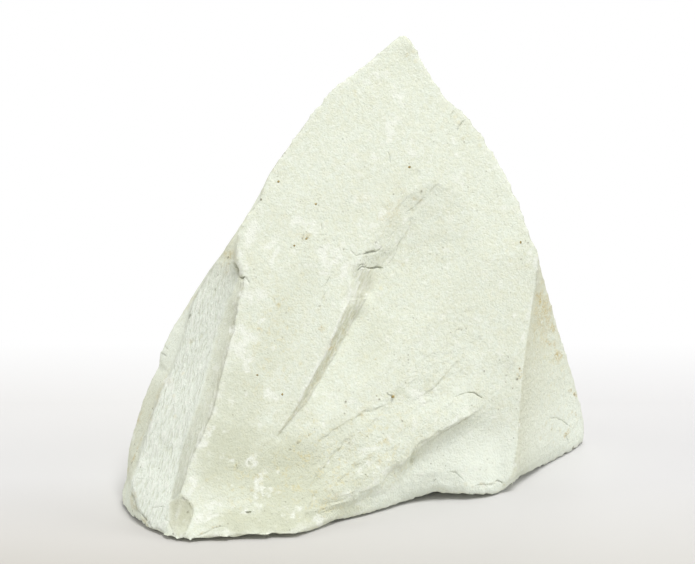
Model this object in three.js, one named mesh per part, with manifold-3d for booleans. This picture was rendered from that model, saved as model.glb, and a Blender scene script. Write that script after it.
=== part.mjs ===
// A lump of natural block chalk: one broken stone with a broad, nearly flat front face,
// a stepped left side, a right side broken square, and rust grains set in the stone.
// Millimetres, +Z up. The origin is under the middle of the lump, on its rest face.
// X runs from left to right along the front, Y runs from front to back.
import * as THREE from 'three';
import { ConvexGeometry } from 'three/addons/geometries/ConvexGeometry.js';
import { mergeVertices } from 'three/addons/utils/BufferGeometryUtils.js';
import Module from 'manifold-3d';

const wasm = await Module();
wasm.setup();

// Overall size of the lump
const lumpWidth = 97;
const lumpDepth = 65;
const lumpHeight = 90.4;

// Broken features of the front
const scarpDrop = 2.6;
const undercutHeight = 1.5;
const toeChipDepth = 1.6;
const cutOverrun = 4;

// Rust grains
const grainLength = 0.85;
const grainWidth = 0.7;
const grainThickness = 0.6;
const grainProud = 0.15;
const seatClearance = 0.05;

// Corners closer together than this are one corner
const weldDistance = 0.00001;

// The front face is one plane. Its depth at any place is a start share, plus a share
// for the turn to the right, plus a share for the lean backwards.
const faceStartShare = -0.048;
const faceTurnShare = 0.328;
const faceLeanShare = 0.556;

// Edges on the front face, from the base up, as shares:
// [across the width, up the height, behind the face plane]
const slabLeftEdgeShares = [
  [0.151, 0.000, -0.0015],
  [0.140, 0.009, 0.000],
  [0.135, 0.088, 0.000],
  [0.148, 0.137, 0.000],
  [0.176, 0.200, 0.000],
  [0.191, 0.229, 0.000],
  [0.206, 0.278, 0.000],
  [0.220, 0.330, 0.000],
  [0.231, 0.380, 0.000],
  [0.246, 0.417, 0.000],
  [0.248, 0.471, 0.000],
  [0.262, 0.503, 0.000],
  [0.264, 0.521, 0.000],
  [0.254, 0.537, 0.000],
  [0.247, 0.561, 0.000],
  [0.246, 0.606, 0.000],
  [0.264, 0.644, 0.000],
  [0.282, 0.660, 0.000],
  [0.295, 0.676, 0.000],
  [0.299, 0.701, 0.000],
  [0.307, 0.723, 0.000],
  [0.323, 0.748, 0.000],
  [0.344, 0.774, 0.000],
  [0.368, 0.808, 0.000],
  [0.395, 0.847, 0.000],
  [0.413, 0.870, 0.000],
  [0.428, 0.891, 0.000],
  [0.439, 0.905, 0.000],
  [0.450, 0.912, 0.000],
  [0.468, 0.923, 0.000],
  [0.492, 0.940, 0.000],
  [0.517, 0.953, 0.000],
  [0.538, 0.967, 0.000],
  [0.558, 0.984, 0.000],
  [0.578, 0.996, 0.000],
  [0.586, 1.000, 0.002],
];

const frontMiddleShares = [
  [0.375, 0.000, -0.036],
  [0.385, 0.050, -0.024],
  [0.410, 0.130, 0.000],
  [0.480, 0.400, 0.000],
  [0.560, 0.800, 0.000],
  [0.588, 1.000, 0.001],
];

const scarCrestShares = [
  [0.464, 0.000, 0.066],
  [0.480, 0.030, 0.050],
  [0.530, 0.070, 0.020],
  [0.588, 0.100, 0.018],
  [0.660, 0.150, 0.018],
  [0.745, 0.205, 0.022],
  [0.805, 0.245, 0.035],
  [0.828, 0.330, 0.030],
  [0.845, 0.420, 0.014],
  [0.850, 0.529, 0.000],
  [0.800, 0.645, 0.000],
  [0.705, 0.816, 0.000],
  [0.640, 0.896, 0.000],
  [0.590, 1.000, 0.000],
];

const scarFloorShares = [
  [0.598, 0.000, 0.134],
  [0.602, 0.030, 0.100],
  [0.606, 0.070, 0.074],
  [0.618, 0.100, 0.068],
  [0.685, 0.150, 0.064],
  [0.765, 0.205, 0.060],
  [0.820, 0.245, 0.054],
  [0.838, 0.330, 0.038],
  [0.853, 0.420, 0.018],
  [0.864, 0.529, 0.000],
  [0.818, 0.645, 0.000],
  [0.722, 0.816, 0.000],
  [0.652, 0.896, 0.000],
  [0.592, 1.000, 0.000],
];

const frontRightEdgeShares = [
  [0.800, 0.000, 0.150],
  [0.821, 0.031, 0.131],
  [0.829, 0.064, 0.120],
  [0.830, 0.147, 0.094],
  [0.835, 0.214, 0.071],
  [0.840, 0.273, 0.054],
  [0.846, 0.326, 0.042],
  [0.853, 0.372, 0.031],
  [0.860, 0.413, 0.021],
  [0.871, 0.460, 0.011],
  [0.873, 0.493, 0.004],
  [0.877, 0.529, 0.000],
  [0.858, 0.563, 0.000],
  [0.853, 0.587, 0.000],
  [0.845, 0.617, 0.000],
  [0.834, 0.645, 0.000],
  [0.818, 0.682, 0.000],
  [0.803, 0.714, 0.000],
  [0.791, 0.737, 0.000],
  [0.778, 0.755, 0.000],
  [0.762, 0.786, 0.000],
  [0.738, 0.816, 0.000],
  [0.726, 0.825, 0.000],
  [0.713, 0.841, 0.000],
  [0.695, 0.855, 0.000],
  [0.683, 0.862, 0.000],
  [0.664, 0.896, 0.000],
  [0.648, 0.920, 0.000],
  [0.634, 0.947, 0.000],
  [0.618, 0.975, 0.000],
  [0.602, 0.994, 0.000],
  [0.595, 1.000, 0.001],
];

// Edges behind the front face, from the base up, as shares:
// [across the width, front to back, up the height]
const wallFootShares = [
  [0.114, 0.023, 0.000],
  [0.113, 0.077, 0.058],
  [0.118, 0.115, 0.092],
  [0.132, 0.177, 0.157],
  [0.146, 0.238, 0.235],
  [0.169, 0.277, 0.295],
  [0.195, 0.323, 0.377],
  [0.214, 0.357, 0.451],
  [0.230, 0.392, 0.519],
  [0.240, 0.415, 0.565],
  [0.262, 0.450, 0.625],
  [0.318, 0.520, 0.723],
  [0.405, 0.600, 0.840],
  [0.505, 0.655, 0.935],
  [0.583, 0.715, 1.000],
];

const bandRidgeShares = [
  [0.067, 0.095, 0.000],
  [0.038, 0.146, 0.037],
  [0.028, 0.192, 0.082],
  [0.048, 0.231, 0.128],
  [0.069, 0.277, 0.202],
  [0.093, 0.331, 0.269],
  [0.112, 0.349, 0.303],
  [0.127, 0.369, 0.347],
  [0.145, 0.408, 0.413],
  [0.153, 0.431, 0.445],
  [0.184, 0.458, 0.494],
  [0.225, 0.470, 0.565],
  [0.270, 0.505, 0.625],
  [0.330, 0.560, 0.723],
  [0.418, 0.630, 0.840],
  [0.515, 0.680, 0.935],
  [0.585, 0.722, 1.000],
];

const leftOutlineShares = [
  [0.004, 0.268, 0.000],
  [0.000, 0.285, 0.019],
  [0.012, 0.308, 0.054],
  [0.015, 0.338, 0.112],
  [0.022, 0.362, 0.140],
  [0.038, 0.408, 0.192],
  [0.050, 0.431, 0.224],
  [0.061, 0.446, 0.252],
  [0.078, 0.458, 0.279],
  [0.076, 0.465, 0.298],
  [0.089, 0.477, 0.330],
  [0.101, 0.492, 0.357],
  [0.126, 0.508, 0.396],
  [0.151, 0.508, 0.441],
  [0.182, 0.492, 0.496],
  [0.216, 0.477, 0.549],
  [0.246, 0.510, 0.593],
  [0.290, 0.570, 0.650],
  [0.352, 0.625, 0.723],
  [0.440, 0.675, 0.840],
  [0.525, 0.705, 0.935],
  [0.587, 0.730, 1.000],
];

const rightBackEdgeShares = [
  [1.000, 0.815, 0.000],
  [1.000, 0.808, 0.019],
  [0.993, 0.785, 0.072],
  [0.982, 0.754, 0.119],
  [0.967, 0.723, 0.179],
  [0.957, 0.700, 0.213],
  [0.940, 0.669, 0.274],
  [0.926, 0.638, 0.326],
  [0.910, 0.600, 0.388],
  [0.897, 0.577, 0.435],
  [0.885, 0.554, 0.484],
  [0.874, 0.545, 0.528],
  [0.848, 0.590, 0.575],
  [0.805, 0.630, 0.660],
  [0.735, 0.670, 0.760],
  [0.685, 0.700, 0.835],
  [0.635, 0.715, 0.915],
  [0.596, 0.725, 1.000],
];

const backRightEdgeShares = [
  [0.925, 0.955, 0.000],
  [0.940, 0.945, 0.070],
  [0.845, 0.910, 0.330],
  [0.700, 0.800, 0.720],
  [0.594, 0.740, 1.000],
];

const backMiddleShares = [
  [0.650, 0.982, 0.000],
  [0.660, 1.000, 0.050],
  [0.600, 0.975, 0.300],
  [0.575, 0.900, 0.600],
  [0.591, 0.745, 1.000],
];

const backLeftEdgeShares = [
  [0.130, 0.720, 0.000],
  [0.105, 0.745, 0.080],
  [0.215, 0.745, 0.420],
  [0.470, 0.745, 0.830],
  [0.588, 0.738, 1.000],
];

// Flat breaks across the back, each by three places on it as shares [width, depth, height]
const backBreakShares = [
  [[0.965, 0.850, 0.080], [0.600, 0.915, 0.500], [0.690, 0.785, 0.760]],
  [[0.050, 0.480, 0.200], [0.300, 0.850, 0.140], [0.290, 0.740, 0.480]],
  [[0.480, 0.780, 0.860], [0.660, 0.795, 0.840], [0.560, 0.885, 0.600]],
  [[0.300, 0.860, 0.060], [0.655, 0.996, 0.080], [0.480, 0.880, 0.420]],
];

// The scarp down the front face, one row for each place along it, from its lower end up:
// [rim width, rim height, foot width, foot height, drop at the foot, far width, far height]
// Width and height are shares of the lump's, and the drop is a share of the full drop.
const scarpRowShares = [
  [0.322, 0.180, 0.326, 0.178, 0.02, 0.345, 0.172],
  [0.373, 0.253, 0.380, 0.252, 0.25, 0.460, 0.220],
  [0.407, 0.316, 0.422, 0.309, 0.60, 0.530, 0.270],
  [0.449, 0.397, 0.470, 0.386, 0.90, 0.620, 0.330],
  [0.479, 0.461, 0.512, 0.455, 1.00, 0.690, 0.410],
  [0.481, 0.518, 0.540, 0.517, 1.00, 0.720, 0.480],
  [0.520, 0.562, 0.582, 0.558, 0.80, 0.740, 0.520],
  [0.560, 0.620, 0.604, 0.607, 0.55, 0.745, 0.565],
  [0.588, 0.665, 0.622, 0.649, 0.35, 0.735, 0.620],
  [0.655, 0.692, 0.662, 0.686, 0.03, 0.700, 0.670],
];

// The hollow under the bottom front edge: plan corners as shares [width, depth], and at
// the front how high it is there as a share of its full height
const undercutFrontShares = [
  [0.600, 0.098, 0.00],
  [0.640, 0.110, 0.75],
  [0.690, 0.125, 1.00],
  [0.745, 0.140, 0.70],
  [0.795, 0.155, 0.00],
];
const undercutBackShares = [
  [0.640, 0.480],
  [0.755, 0.500],
];

// The chip off the lower left corner of the front slab: corners on the face as shares,
// each with how deep the chip is there as a share of its full depth
const toeChipShares = [
  [0.120, 0.085, 0.30],
  [0.152, 0.080, 0.15],
  [0.160, 0.060, 0.40],
  [0.150, 0.020, 0.90],
  [0.120, 0.000, 1.00],
];

// Corners of a grain as shares of its length, width and thickness, measured from its
// middle, with the flat underside at the back
const grainCornerShares = [
  [-0.50, 0.05, 0.10],
  [-0.25, 0.45, 0.05],
  [0.20, 0.50, 0.00],
  [0.50, 0.10, 0.15],
  [0.35, -0.40, 0.05],
  [-0.20, -0.50, 0.10],
  [-0.20, 0.10, 0.50],
  [0.15, 0.20, 0.42],
  [0.10, -0.20, 0.46],
  [-0.35, 0.00, -0.50],
  [0.00, 0.35, -0.50],
  [0.35, 0.05, -0.50],
  [0.00, -0.35, -0.50],
];

// Places of the rust grains on the front face, as shares of the lump's width and height,
// each with its scale share and its turn in the plane of the face, in degrees
const grainPlaceShares = [
  [0.290, 0.320, 1.00, 15],
  [0.341, 0.277, 1.00, -75],
  [0.603, 0.727, 0.95, 10],
  [0.409, 0.663, 0.80, 5],
  [0.333, 0.714, 0.70, 80],
  [0.365, 0.580, 0.90, -80],
  [0.389, 0.592, 0.95, 10],
  [0.836, 0.556, 0.85, -70],
  [0.568, 0.255, 0.90, 15],
];

const stoneMaterial = new THREE.MeshStandardMaterial({
  name: 'pale_stone',
  color: '#e5ead9',
  roughness: 0.92,
  metalness: 0,
});
const rustMaterial = new THREE.MeshStandardMaterial({
  name: 'rust_grain',
  color: '#7a5433',
  roughness: 0.85,
  metalness: 0,
});

function faceDepthShare(width, height) {
  return faceStartShare + faceTurnShare * width + faceLeanShare * height;
}

function place(width, depth, height) {
  return new THREE.Vector3(
    (width - 0.5) * lumpWidth,
    (depth - 0.5) * lumpDepth,
    height * lumpHeight,
  );
}

function placeOnFace(width, height) {
  return place(width, faceDepthShare(width, height), height);
}

const faceRight = placeOnFace(1, 0).sub(placeOnFace(0, 0)).normalize();
const faceUpSlope = placeOnFace(0, 1).sub(placeOnFace(0, 0)).normalize();
const faceOut = faceRight.clone().cross(faceUpSlope).normalize();
const faceUp = faceOut.clone().cross(faceRight).normalize();

function toSolid(geometry) {
  const bare = geometry.clone();
  bare.deleteAttribute('normal');
  bare.deleteAttribute('uv');
  const merged = mergeVertices(bare, weldDistance);
  return new wasm.Manifold(new wasm.Mesh({
    numProp: 3,
    vertProperties: new Float32Array(merged.attributes.position.array),
    triVerts: new Uint32Array(merged.index.array),
  }));
}

function toGeometry(solid) {
  const mesh = solid.getMesh();
  const geometry = new THREE.BufferGeometry();
  geometry.setAttribute('position', new THREE.BufferAttribute(new Float32Array(mesh.vertProperties), 3));
  geometry.setIndex(new THREE.BufferAttribute(new Uint32Array(mesh.triVerts), 1));
  geometry.computeVertexNormals();
  return geometry;
}

function hullSolid(points) {
  return toSolid(new ConvexGeometry(points));
}

// Lump body: closed sections at every height where an outline edge bends
function faceEdge(rows) {
  return rows.map(([width, height, behind]) => [width, faceDepthShare(width, height) + behind, height]);
}

function edgeAt(edge, height) {
  let upper = edge.findIndex((point) => point[2] >= height);
  upper = Math.max(upper, 1);
  const below = edge[upper - 1];
  const above = edge[upper];
  const part = (height - below[2]) / (above[2] - below[2]);
  return place(
    below[0] + (above[0] - below[0]) * part,
    below[1] + (above[1] - below[1]) * part,
    height,
  );
}

const edges = [
  leftOutlineShares,
  bandRidgeShares,
  wallFootShares,
  faceEdge(slabLeftEdgeShares),
  faceEdge(frontMiddleShares),
  faceEdge(scarCrestShares),
  faceEdge(scarFloorShares),
  faceEdge(frontRightEdgeShares),
  rightBackEdgeShares,
  backRightEdgeShares,
  backMiddleShares,
  backLeftEdgeShares,
];

function sectionHeights() {
  const leastStepShare = 0.006;
  const all = edges.flatMap((edge) => edge.map((point) => point[2])).sort((a, b) => a - b);
  const kept = [0];
  all.forEach((height) => {
    if (height - kept[kept.length - 1] >= leastStepShare && 1 - height >= leastStepShare) {
      kept.push(height);
    }
  });
  kept.push(1);
  return kept;
}

function loftSolid() {
  const heights = sectionHeights();
  const count = edges.length;
  const positions = [];
  heights.forEach((height) => {
    edges.forEach((edge) => {
      const point = edgeAt(edge, height);
      positions.push(point.x, point.y, point.z);
    });
  });
  const index = [];
  for (let ring = 0; ring < heights.length - 1; ring += 1) {
    for (let corner = 0; corner < count; corner += 1) {
      const next = (corner + 1) % count;
      const a = ring * count + corner;
      const b = ring * count + next;
      const c = a + count;
      const d = b + count;
      index.push(a, b, d);
      index.push(a, d, c);
    }
  }
  const capOutline = (ring) => edges.map((edge) => {
    const point = edgeAt(edge, heights[ring]);
    return new THREE.Vector2(point.x, point.y);
  });
  const lastRing = heights.length - 1;
  THREE.ShapeUtils.triangulateShape(capOutline(0), []).forEach(([a, b, c]) => {
    index.push(a, c, b);
  });
  THREE.ShapeUtils.triangulateShape(capOutline(lastRing), []).forEach(([a, b, c]) => {
    const start = lastRing * count;
    index.push(start + a, start + b, start + c);
  });
  const geometry = new THREE.BufferGeometry();
  geometry.setAttribute('position', new THREE.BufferAttribute(new Float32Array(positions), 3));
  geometry.setIndex(index);
  return toSolid(geometry);
}

// Scarp: the right lobe of the face lies lower than the left lobe
function scarpRow([rimWidth, rimHeight, footWidth, footHeight, drop, farWidth, farHeight]) {
  const rim = placeOnFace(rimWidth, rimHeight);
  const foot = placeOnFace(footWidth, footHeight).addScaledVector(faceOut, -drop * scarpDrop);
  const far = placeOnFace(farWidth, farHeight);
  return [
    rim,
    foot,
    far,
    rim.clone().addScaledVector(faceOut, cutOverrun),
    far.clone().addScaledVector(faceOut, cutOverrun),
  ];
}

function scarpCutters() {
  const rows = scarpRowShares.map(scarpRow);
  return rows.slice(1).map((row, position) => hullSolid([...rows[position], ...row]));
}

// Hollow under the bottom front edge, an arch that is highest at the front
function undercutCutter() {
  const points = [];
  undercutFrontShares.forEach(([width, depth, height]) => {
    const point = place(width, depth, 0);
    points.push(point.clone().setZ(-cutOverrun));
    points.push(point.setZ(height * undercutHeight));
  });
  undercutBackShares.forEach(([width, depth]) => {
    const point = place(width, depth, 0);
    points.push(point.clone().setZ(-cutOverrun));
    points.push(point);
  });
  return hullSolid(points);
}

// Chip off the lower left corner of the front slab, deepest at the base
function toeChipCutter() {
  const points = [];
  toeChipShares.forEach(([width, height, depth]) => {
    const point = placeOnFace(width, height);
    points.push(point.clone().addScaledVector(faceOut, cutOverrun));
    points.push(point.addScaledVector(faceOut, -depth * toeChipDepth));
  });
  return hullSolid(points);
}

// Flat break behind: everything beyond the plane of the three places comes away
function backBreakCutter(rows) {
  const [first, second, third] = rows.map(([width, depth, height]) => place(width, depth, height));
  const outward = second.clone().sub(first).cross(third.clone().sub(first)).normalize();
  if (outward.y < 0) {
    outward.negate();
  }
  const reach = lumpWidth + lumpHeight;
  const block = new THREE.BoxGeometry(reach, reach, reach);
  const turn = new THREE.Quaternion().setFromUnitVectors(new THREE.Vector3(0, 0, 1), outward);
  const centre = first.addScaledVector(outward, reach / 2);
  block.applyQuaternion(turn);
  block.translate(centre.x, centre.y, centre.z);
  return toSolid(block);
}

// Grains and the pockets they sit in
function grainPoints(length, width, thickness) {
  return grainCornerShares.map(([x, y, z]) => new THREE.Vector3(x * length, y * width, z * thickness));
}

function seatOnFace(object, [width, height, scale, turn]) {
  const sunk = (grainThickness * scale) / 2 - grainProud;
  const upright = new THREE.Matrix4().makeBasis(faceRight, faceUp, faceOut);
  object.quaternion.setFromRotationMatrix(upright);
  object.rotateZ(THREE.MathUtils.degToRad(turn));
  object.position.copy(placeOnFace(width, height).addScaledVector(faceOut, -sunk));
  object.updateMatrix();
  return object;
}

function pocketCutter(row) {
  const scale = row[2];
  const points = grainPoints(
    grainLength * scale + 2 * seatClearance,
    grainWidth * scale + 2 * seatClearance,
    grainThickness * scale,
  );
  const raised = points.map((point) => new THREE.Vector3(point.x, point.y, Math.max(point.z, 0) + cutOverrun));
  const seat = seatOnFace(new THREE.Object3D(), row);
  return hullSolid([...points, ...raised].map((point) => point.applyMatrix4(seat.matrix)));
}

let lump = loftSolid();
[
  ...scarpCutters(),
  undercutCutter(),
  toeChipCutter(),
  ...backBreakShares.map(backBreakCutter),
  ...grainPlaceShares.map(pocketCutter),
].forEach((cutter) => {
  lump = lump.subtract(cutter);
});

const chalkLump = new THREE.Group();

const stone = new THREE.Mesh(toGeometry(lump), stoneMaterial);
stone.name = 'stone_lump';
chalkLump.add(stone);

grainPlaceShares.forEach((row, position) => {
  const scale = row[2];
  const geometry = toGeometry(hullSolid(
    grainPoints(grainLength * scale, grainWidth * scale, grainThickness * scale),
  ));
  const grain = seatOnFace(new THREE.Mesh(geometry, rustMaterial), row);
  grain.name = `rust_grain_${position + 1}`;
  chalkLump.add(grain);
});

export default chalkLump;
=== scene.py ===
import contextlib
import functools
import math

import bpy
import bmesh
import numpy as np
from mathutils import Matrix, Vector
from mathutils.bvhtree import BVHTree
from mathutils.kdtree import KDTree


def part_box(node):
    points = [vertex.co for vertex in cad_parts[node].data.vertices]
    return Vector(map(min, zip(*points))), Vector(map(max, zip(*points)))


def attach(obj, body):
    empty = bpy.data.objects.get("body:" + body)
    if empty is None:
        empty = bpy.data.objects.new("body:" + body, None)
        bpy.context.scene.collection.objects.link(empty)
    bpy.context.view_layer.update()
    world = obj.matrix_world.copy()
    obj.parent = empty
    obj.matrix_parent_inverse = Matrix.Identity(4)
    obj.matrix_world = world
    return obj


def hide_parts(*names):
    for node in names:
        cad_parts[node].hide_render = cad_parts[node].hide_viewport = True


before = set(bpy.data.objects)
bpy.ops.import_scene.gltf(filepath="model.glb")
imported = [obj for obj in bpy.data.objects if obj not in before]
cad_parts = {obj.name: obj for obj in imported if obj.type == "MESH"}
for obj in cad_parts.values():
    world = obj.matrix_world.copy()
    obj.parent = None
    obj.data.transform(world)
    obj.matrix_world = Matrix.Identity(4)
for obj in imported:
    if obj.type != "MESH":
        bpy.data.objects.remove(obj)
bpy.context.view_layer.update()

MM = 0.001


def placed(name, data):
    """A new object in the scene."""
    item = bpy.data.objects.new(name, data)
    bpy.context.scene.collection.objects.link(item)
    return item


# ---- Camera: a long lens, a little above the lump, looking along +Y ----
IMAGE_WIDTH = 695
IMAGE_HEIGHT = 564
FOCAL_PIXELS = 2800.0
CAMERA_DROP = math.radians(18.0)
CAMERA_REACH = 560.0 * MM
PIXELS_PER_MM = FOCAL_PIXELS * MM / CAMERA_REACH
AIM = Vector((-2.5, -7.5, 45.0)) * MM
VIEW_AXIS = Vector((0.0, math.cos(CAMERA_DROP), -math.sin(CAMERA_DROP)))
VIEW_UP = Vector((0.0, math.sin(CAMERA_DROP), math.cos(CAMERA_DROP)))
EYE = AIM - VIEW_AXIS * CAMERA_REACH

camera_data = bpy.data.cameras.new("camera")
camera_data.sensor_width = 36.0
camera_data.lens = camera_data.sensor_width * FOCAL_PIXELS / IMAGE_WIDTH
camera_data.clip_start = 0.01
camera_data.clip_end = 20.0
camera = placed("camera", camera_data)
camera.location = EYE
camera.rotation_euler = (math.pi / 2 - CAMERA_DROP, 0.0, 0.0)
bpy.context.scene.camera = camera


def to_pixels(points):
    """Places of points, in metres, in the photograph's frame."""
    v = points - np.array(EYE)
    depth = v @ np.array(VIEW_AXIS)
    x = IMAGE_WIDTH / 2 + FOCAL_PIXELS * v[:, 0] / depth
    y = IMAGE_HEIGHT / 2 - FOCAL_PIXELS * (v @ np.array(VIEW_UP)) / depth
    return np.stack([x, y], -1)


# ---- Seeded noise, in millimetres ----
HASH_AXES = np.array([374761393, 668265263, 1442695041])
HASH_SEED = 974711
HASH_ROUNDS = ((13, 1274126177), (16, 2246822519))
LOW_32 = 0xFFFFFFFF
LOW_24 = 0xFFFFFF
SCATTER = 0.42


def lattice(cell, seed):
    """A random value from -1 to 1 for each cell of a grid."""
    h = (cell.astype(np.int64) @ HASH_AXES + seed * HASH_SEED) & LOW_32
    for places, factor in HASH_ROUNDS:
        h = ((h ^ (h >> places)) * factor) & LOW_32
    return ((h ^ (h >> 15)) & LOW_24) / float(LOW_24 >> 1) - 1.0


def lattices(cell, seeds):
    return np.stack([lattice(cell, seed) for seed in seeds], -1)


def noise(p, size, seed):
    """Smooth noise between the random values of a grid."""
    q = p / size
    base = np.floor(q)
    f = q - base
    f = f * f * f * (f * (f * 6 - 15) + 10)
    total = np.zeros(len(p))
    for corner in np.ndindex(2, 2, 2):
        step = np.array(corner[::-1])
        total += np.prod(np.where(step, f, 1 - f), axis=1) * lattice(base + step, seed)
    return total


def noises(p, size, seeds):
    return np.stack([noise(p, size, seed) for seed in seeds], -1)


def fbm(p, size, octaves, seed):
    """Noise with finer and weaker noise on it."""
    total = np.zeros(len(p))
    for octave in range(octaves):
        total += 0.5 ** octave * noise(p, size / 2 ** octave, seed + 17 * octave)
    return total


def scattered(p, size, seed):
    """The scattered point nearest to each place: its cell, the way from it and the distance."""
    q = p / size
    base = np.floor(q)
    own = base.copy()
    way = np.zeros(p.shape)
    best = np.full(len(p), 9.0)
    for step in np.ndindex(3, 3, 3):
        cell = base + np.array(step) - 1
        rel = q - cell - 0.5 - SCATTER * lattices(cell, (seed + 1, seed + 2, seed + 3))
        d = np.linalg.norm(rel, axis=1)
        nearer = d < best
        own[nearer], way[nearer], best[nearer] = cell[nearer], rel[nearer], d[nearer]
    return own, way, best


def cells(p, size, seed):
    """Distance to the nearest scattered point, and that point's own random value."""
    own, _, gap = scattered(p, size, seed)
    return gap, lattice(own, seed + 5)


def flat_breaks(p, size, seed):
    """Flat facets, each with a height and a tilt of its own."""
    own, way, _ = scattered(p, size, seed)
    slope = lattices(own, (seed + 6, seed + 7, seed + 8))
    return 0.4 * lattice(own, seed + 5) + np.einsum("ij,ij->i", slope, way)


def smooth(low, high, value):
    """From 0 at the low value to 1 at the high one, and level past them."""
    t = np.clip((value - low) / (high - low), 0.0, 1.0)
    return t * t * (3 - 2 * t)


def bell(gap, width):
    """A round profile: 1 on a line, and fading over a width."""
    return np.exp(-(gap / width) ** 2)


# ---- Lines and patches read from the photograph, in its pixels ----
def polyline(points, pix):
    """Distance to a line, the side of it, and how far along it, from 0 to 1."""
    pts = np.array(points, float)
    seg = pts[1:] - pts[:-1]
    lengths = np.linalg.norm(seg, axis=1)
    starts = np.concatenate([[0.0], np.cumsum(lengths)[:-1]])
    best = np.full(len(pix), 1e9)
    side = np.zeros(len(pix))
    along = np.zeros(len(pix))
    for k in range(len(seg)):
        rel = pix - pts[k]
        t = np.clip(rel @ seg[k] / lengths[k] ** 2, 0.0, 1.0)
        d = np.linalg.norm(rel - t[:, None] * seg[k], axis=1)
        cross = seg[k][0] * rel[:, 1] - seg[k][1] * rel[:, 0]
        nearer = d < best
        best = np.where(nearer, d, best)
        side = np.where(nearer, np.sign(cross), side)
        along = np.where(nearer, (starts[k] + t * lengths[k]) / lengths.sum(), along)
    return best, side, along


# Narrow cracks: depth in mm, half width in pixels, darkness of the painted shade in them, points
CRACKS = [
    (1, 1.3, 1, [(363.5, 255.3), (368, 254), (372, 253), (376.5, 252.6)]),
    (0.5, 0.8, 0.5, [(376.5, 252.6), (379.5, 250.5), (382, 247.2)]),
    (0.3, 0.7, 0.3, [(349.5, 249), (352, 253), (355.5, 256.6), (359, 256), (363.5, 255.3)]),
    (0.9, 1, 1, [(366.5, 268.2), (370, 269.4), (374, 269.3), (378, 268.4), (382.3, 268.4)]),
    (0.6, 0.9, 0.7, [(357.8, 272), (360, 270), (362.5, 268), (366.5, 268.2)]),
    (0.4, 0.7, 0.5, [(358, 268.6), (361, 265.8), (365, 266)]),
    (0.6, 0.8, 0.8, [(466, 393.6), (473.3, 393.2), (477, 395.4), (481.2, 398.4), (486, 400)]),
    (0.3, 0.7, 0.25, [(452, 398.5), (459, 396), (466, 393.6)]),
    (0.4, 0.7, 0.5, [(449.5, 472.6), (455, 473), (459, 476.2), (463, 479.6)]),
    (0.6, 0.9, 0.6, [(474, 484.8), (480, 483.2), (485, 482.8), (490, 483.2), (494.5, 482.6)]),
    (0.6, 0.9, 0.8, [(494.5, 481), (498, 481.2), (501, 483.4), (502.6, 485)]),
    (0.4, 0.7, 0.45, [(549, 419.4), (556, 419.2), (561, 421), (566, 424.6), (569.4, 427.6)]),
    (0.35, 0.7, 0.3, [(565, 434), (567, 440), (567.5, 444)]),
    (0.9, 1, 0.8, [(233.5, 262.5), (236, 266.5), (238.4, 271.5), (239.6, 276)]),
    (0.9, 1, 1, [(240, 277.6), (242.4, 278.6), (245.2, 276.8)]),
    (0.4, 0.6, 0.5, [(245.2, 277), (248, 281), (250, 284.6)]),
    (0.5, 0.8, 0.7, [(131, 491), (134.6, 499.6), (137, 508), (141, 513)]),
    (0.7, 1.1, 0.9, [(141, 512.5), (144, 516), (147.5, 519.5)]),
    (0.4, 0.8, 0.5, [(147.5, 519.5), (150.5, 524), (153, 528)]),
    (0.25, 0.6, 0.25, [(152, 506.6), (160, 506), (167, 507)]),
    (0.2, 0.5, 0.25, [(135, 477.6), (140, 479), (145, 479.2)]),
    (0.2, 0.6, 0.4, [(164.6, 513), (166.2, 518.6), (169.4, 521), (171.2, 527), (173.4, 532)]),
    (0.3, 0.7, 0.45, [(196, 536), (201, 533.4), (207, 531.8), (214, 529.6), (221, 528), (228, 527.3)]),
    (0.9, 1.1, 1, [(245.6, 511), (248, 511.8), (251.6, 510.8)]),
    (0.25, 0.6, 0.35, [(387.4, 151), (389.6, 157), (390, 164.6)]),
    (0.3, 0.6, 0.32, [(449.6, 122.6), (451, 117), (455.4, 110.4)]),
    (0.4, 0.7, 0.45, [(457.4, 132), (459.6, 127), (463, 122.6), (466, 120.6)]),
    (0.3, 0.6, 0.45, [(321.6, 223.6), (321.4, 231)]),
    (0.25, 0.6, 0.35, [(320, 236), (325, 235.4), (327.4, 236.6)]),
    (0.2, 0.5, 0.3, [(319, 247), (321.6, 248.6), (324, 248.4)]),
    (0.3, 0.9, 0.7, [(160.6, 353), (163, 354.4), (166, 356.8)]),
    (0.2, 0.8, 0.4, [(163.6, 345.4), (166, 348), (168, 350.6)]),
    (0.4, 1, 0.9, [(188.2, 319.6), (189, 317.4), (190, 315)]),
    (0.2, 0.7, 0.6, [(181.4, 496.6), (184, 499.4), (189.4, 500.6)]),
    (0.3, 0.7, 0.35, [(189.4, 500.4), (192.4, 505), (192.8, 511), (191, 518), (188.8, 524)]),
    (0.25, 0.6, 0.3, [(331, 276), (328, 281), (325, 286.4), (321.4, 289)]),
    (0.25, 0.6, 0.3, [(326, 292), (323, 298), (320.6, 304)]),
    (0.4, 0.8, 0.7, [(386, 392), (388, 395.4), (391.4, 396.4), (394, 397.6)]),
    (0.25, 0.6, 0.35, [(432.6, 484), (436, 482)]),
    (0.35, 0.7, 0.45, [(236, 465), (237.6, 470)]),
    (0.3, 0.7, 0.4, [(249, 461), (248.6, 466)]),
    (0.25, 0.6, 0.42, [(407.4, 213.6), (411, 210), (416, 206.6), (420, 201.6), (424, 197)]),
    (0.2, 0.5, 0.3, [(430, 191.2), (434, 187.8), (441, 183)]),
    (0.25, 0.6, 0.42, [(386, 266.6), (391, 260.8), (394.6, 255.6), (397, 250.4), (399.4, 244.6),
        (402, 239.6)]),
    (0.2, 0.5, 0.3, [(405, 234), (408.6, 229), (410.4, 224), (409.6, 218)]),
    (0.2, 0.5, 0.26, [(396, 214), (400, 207), (405, 201), (409, 197.6)]),
    (0.2, 0.5, 0.26, [(387, 246), (390, 240), (393.4, 233.6)]),
]
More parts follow.
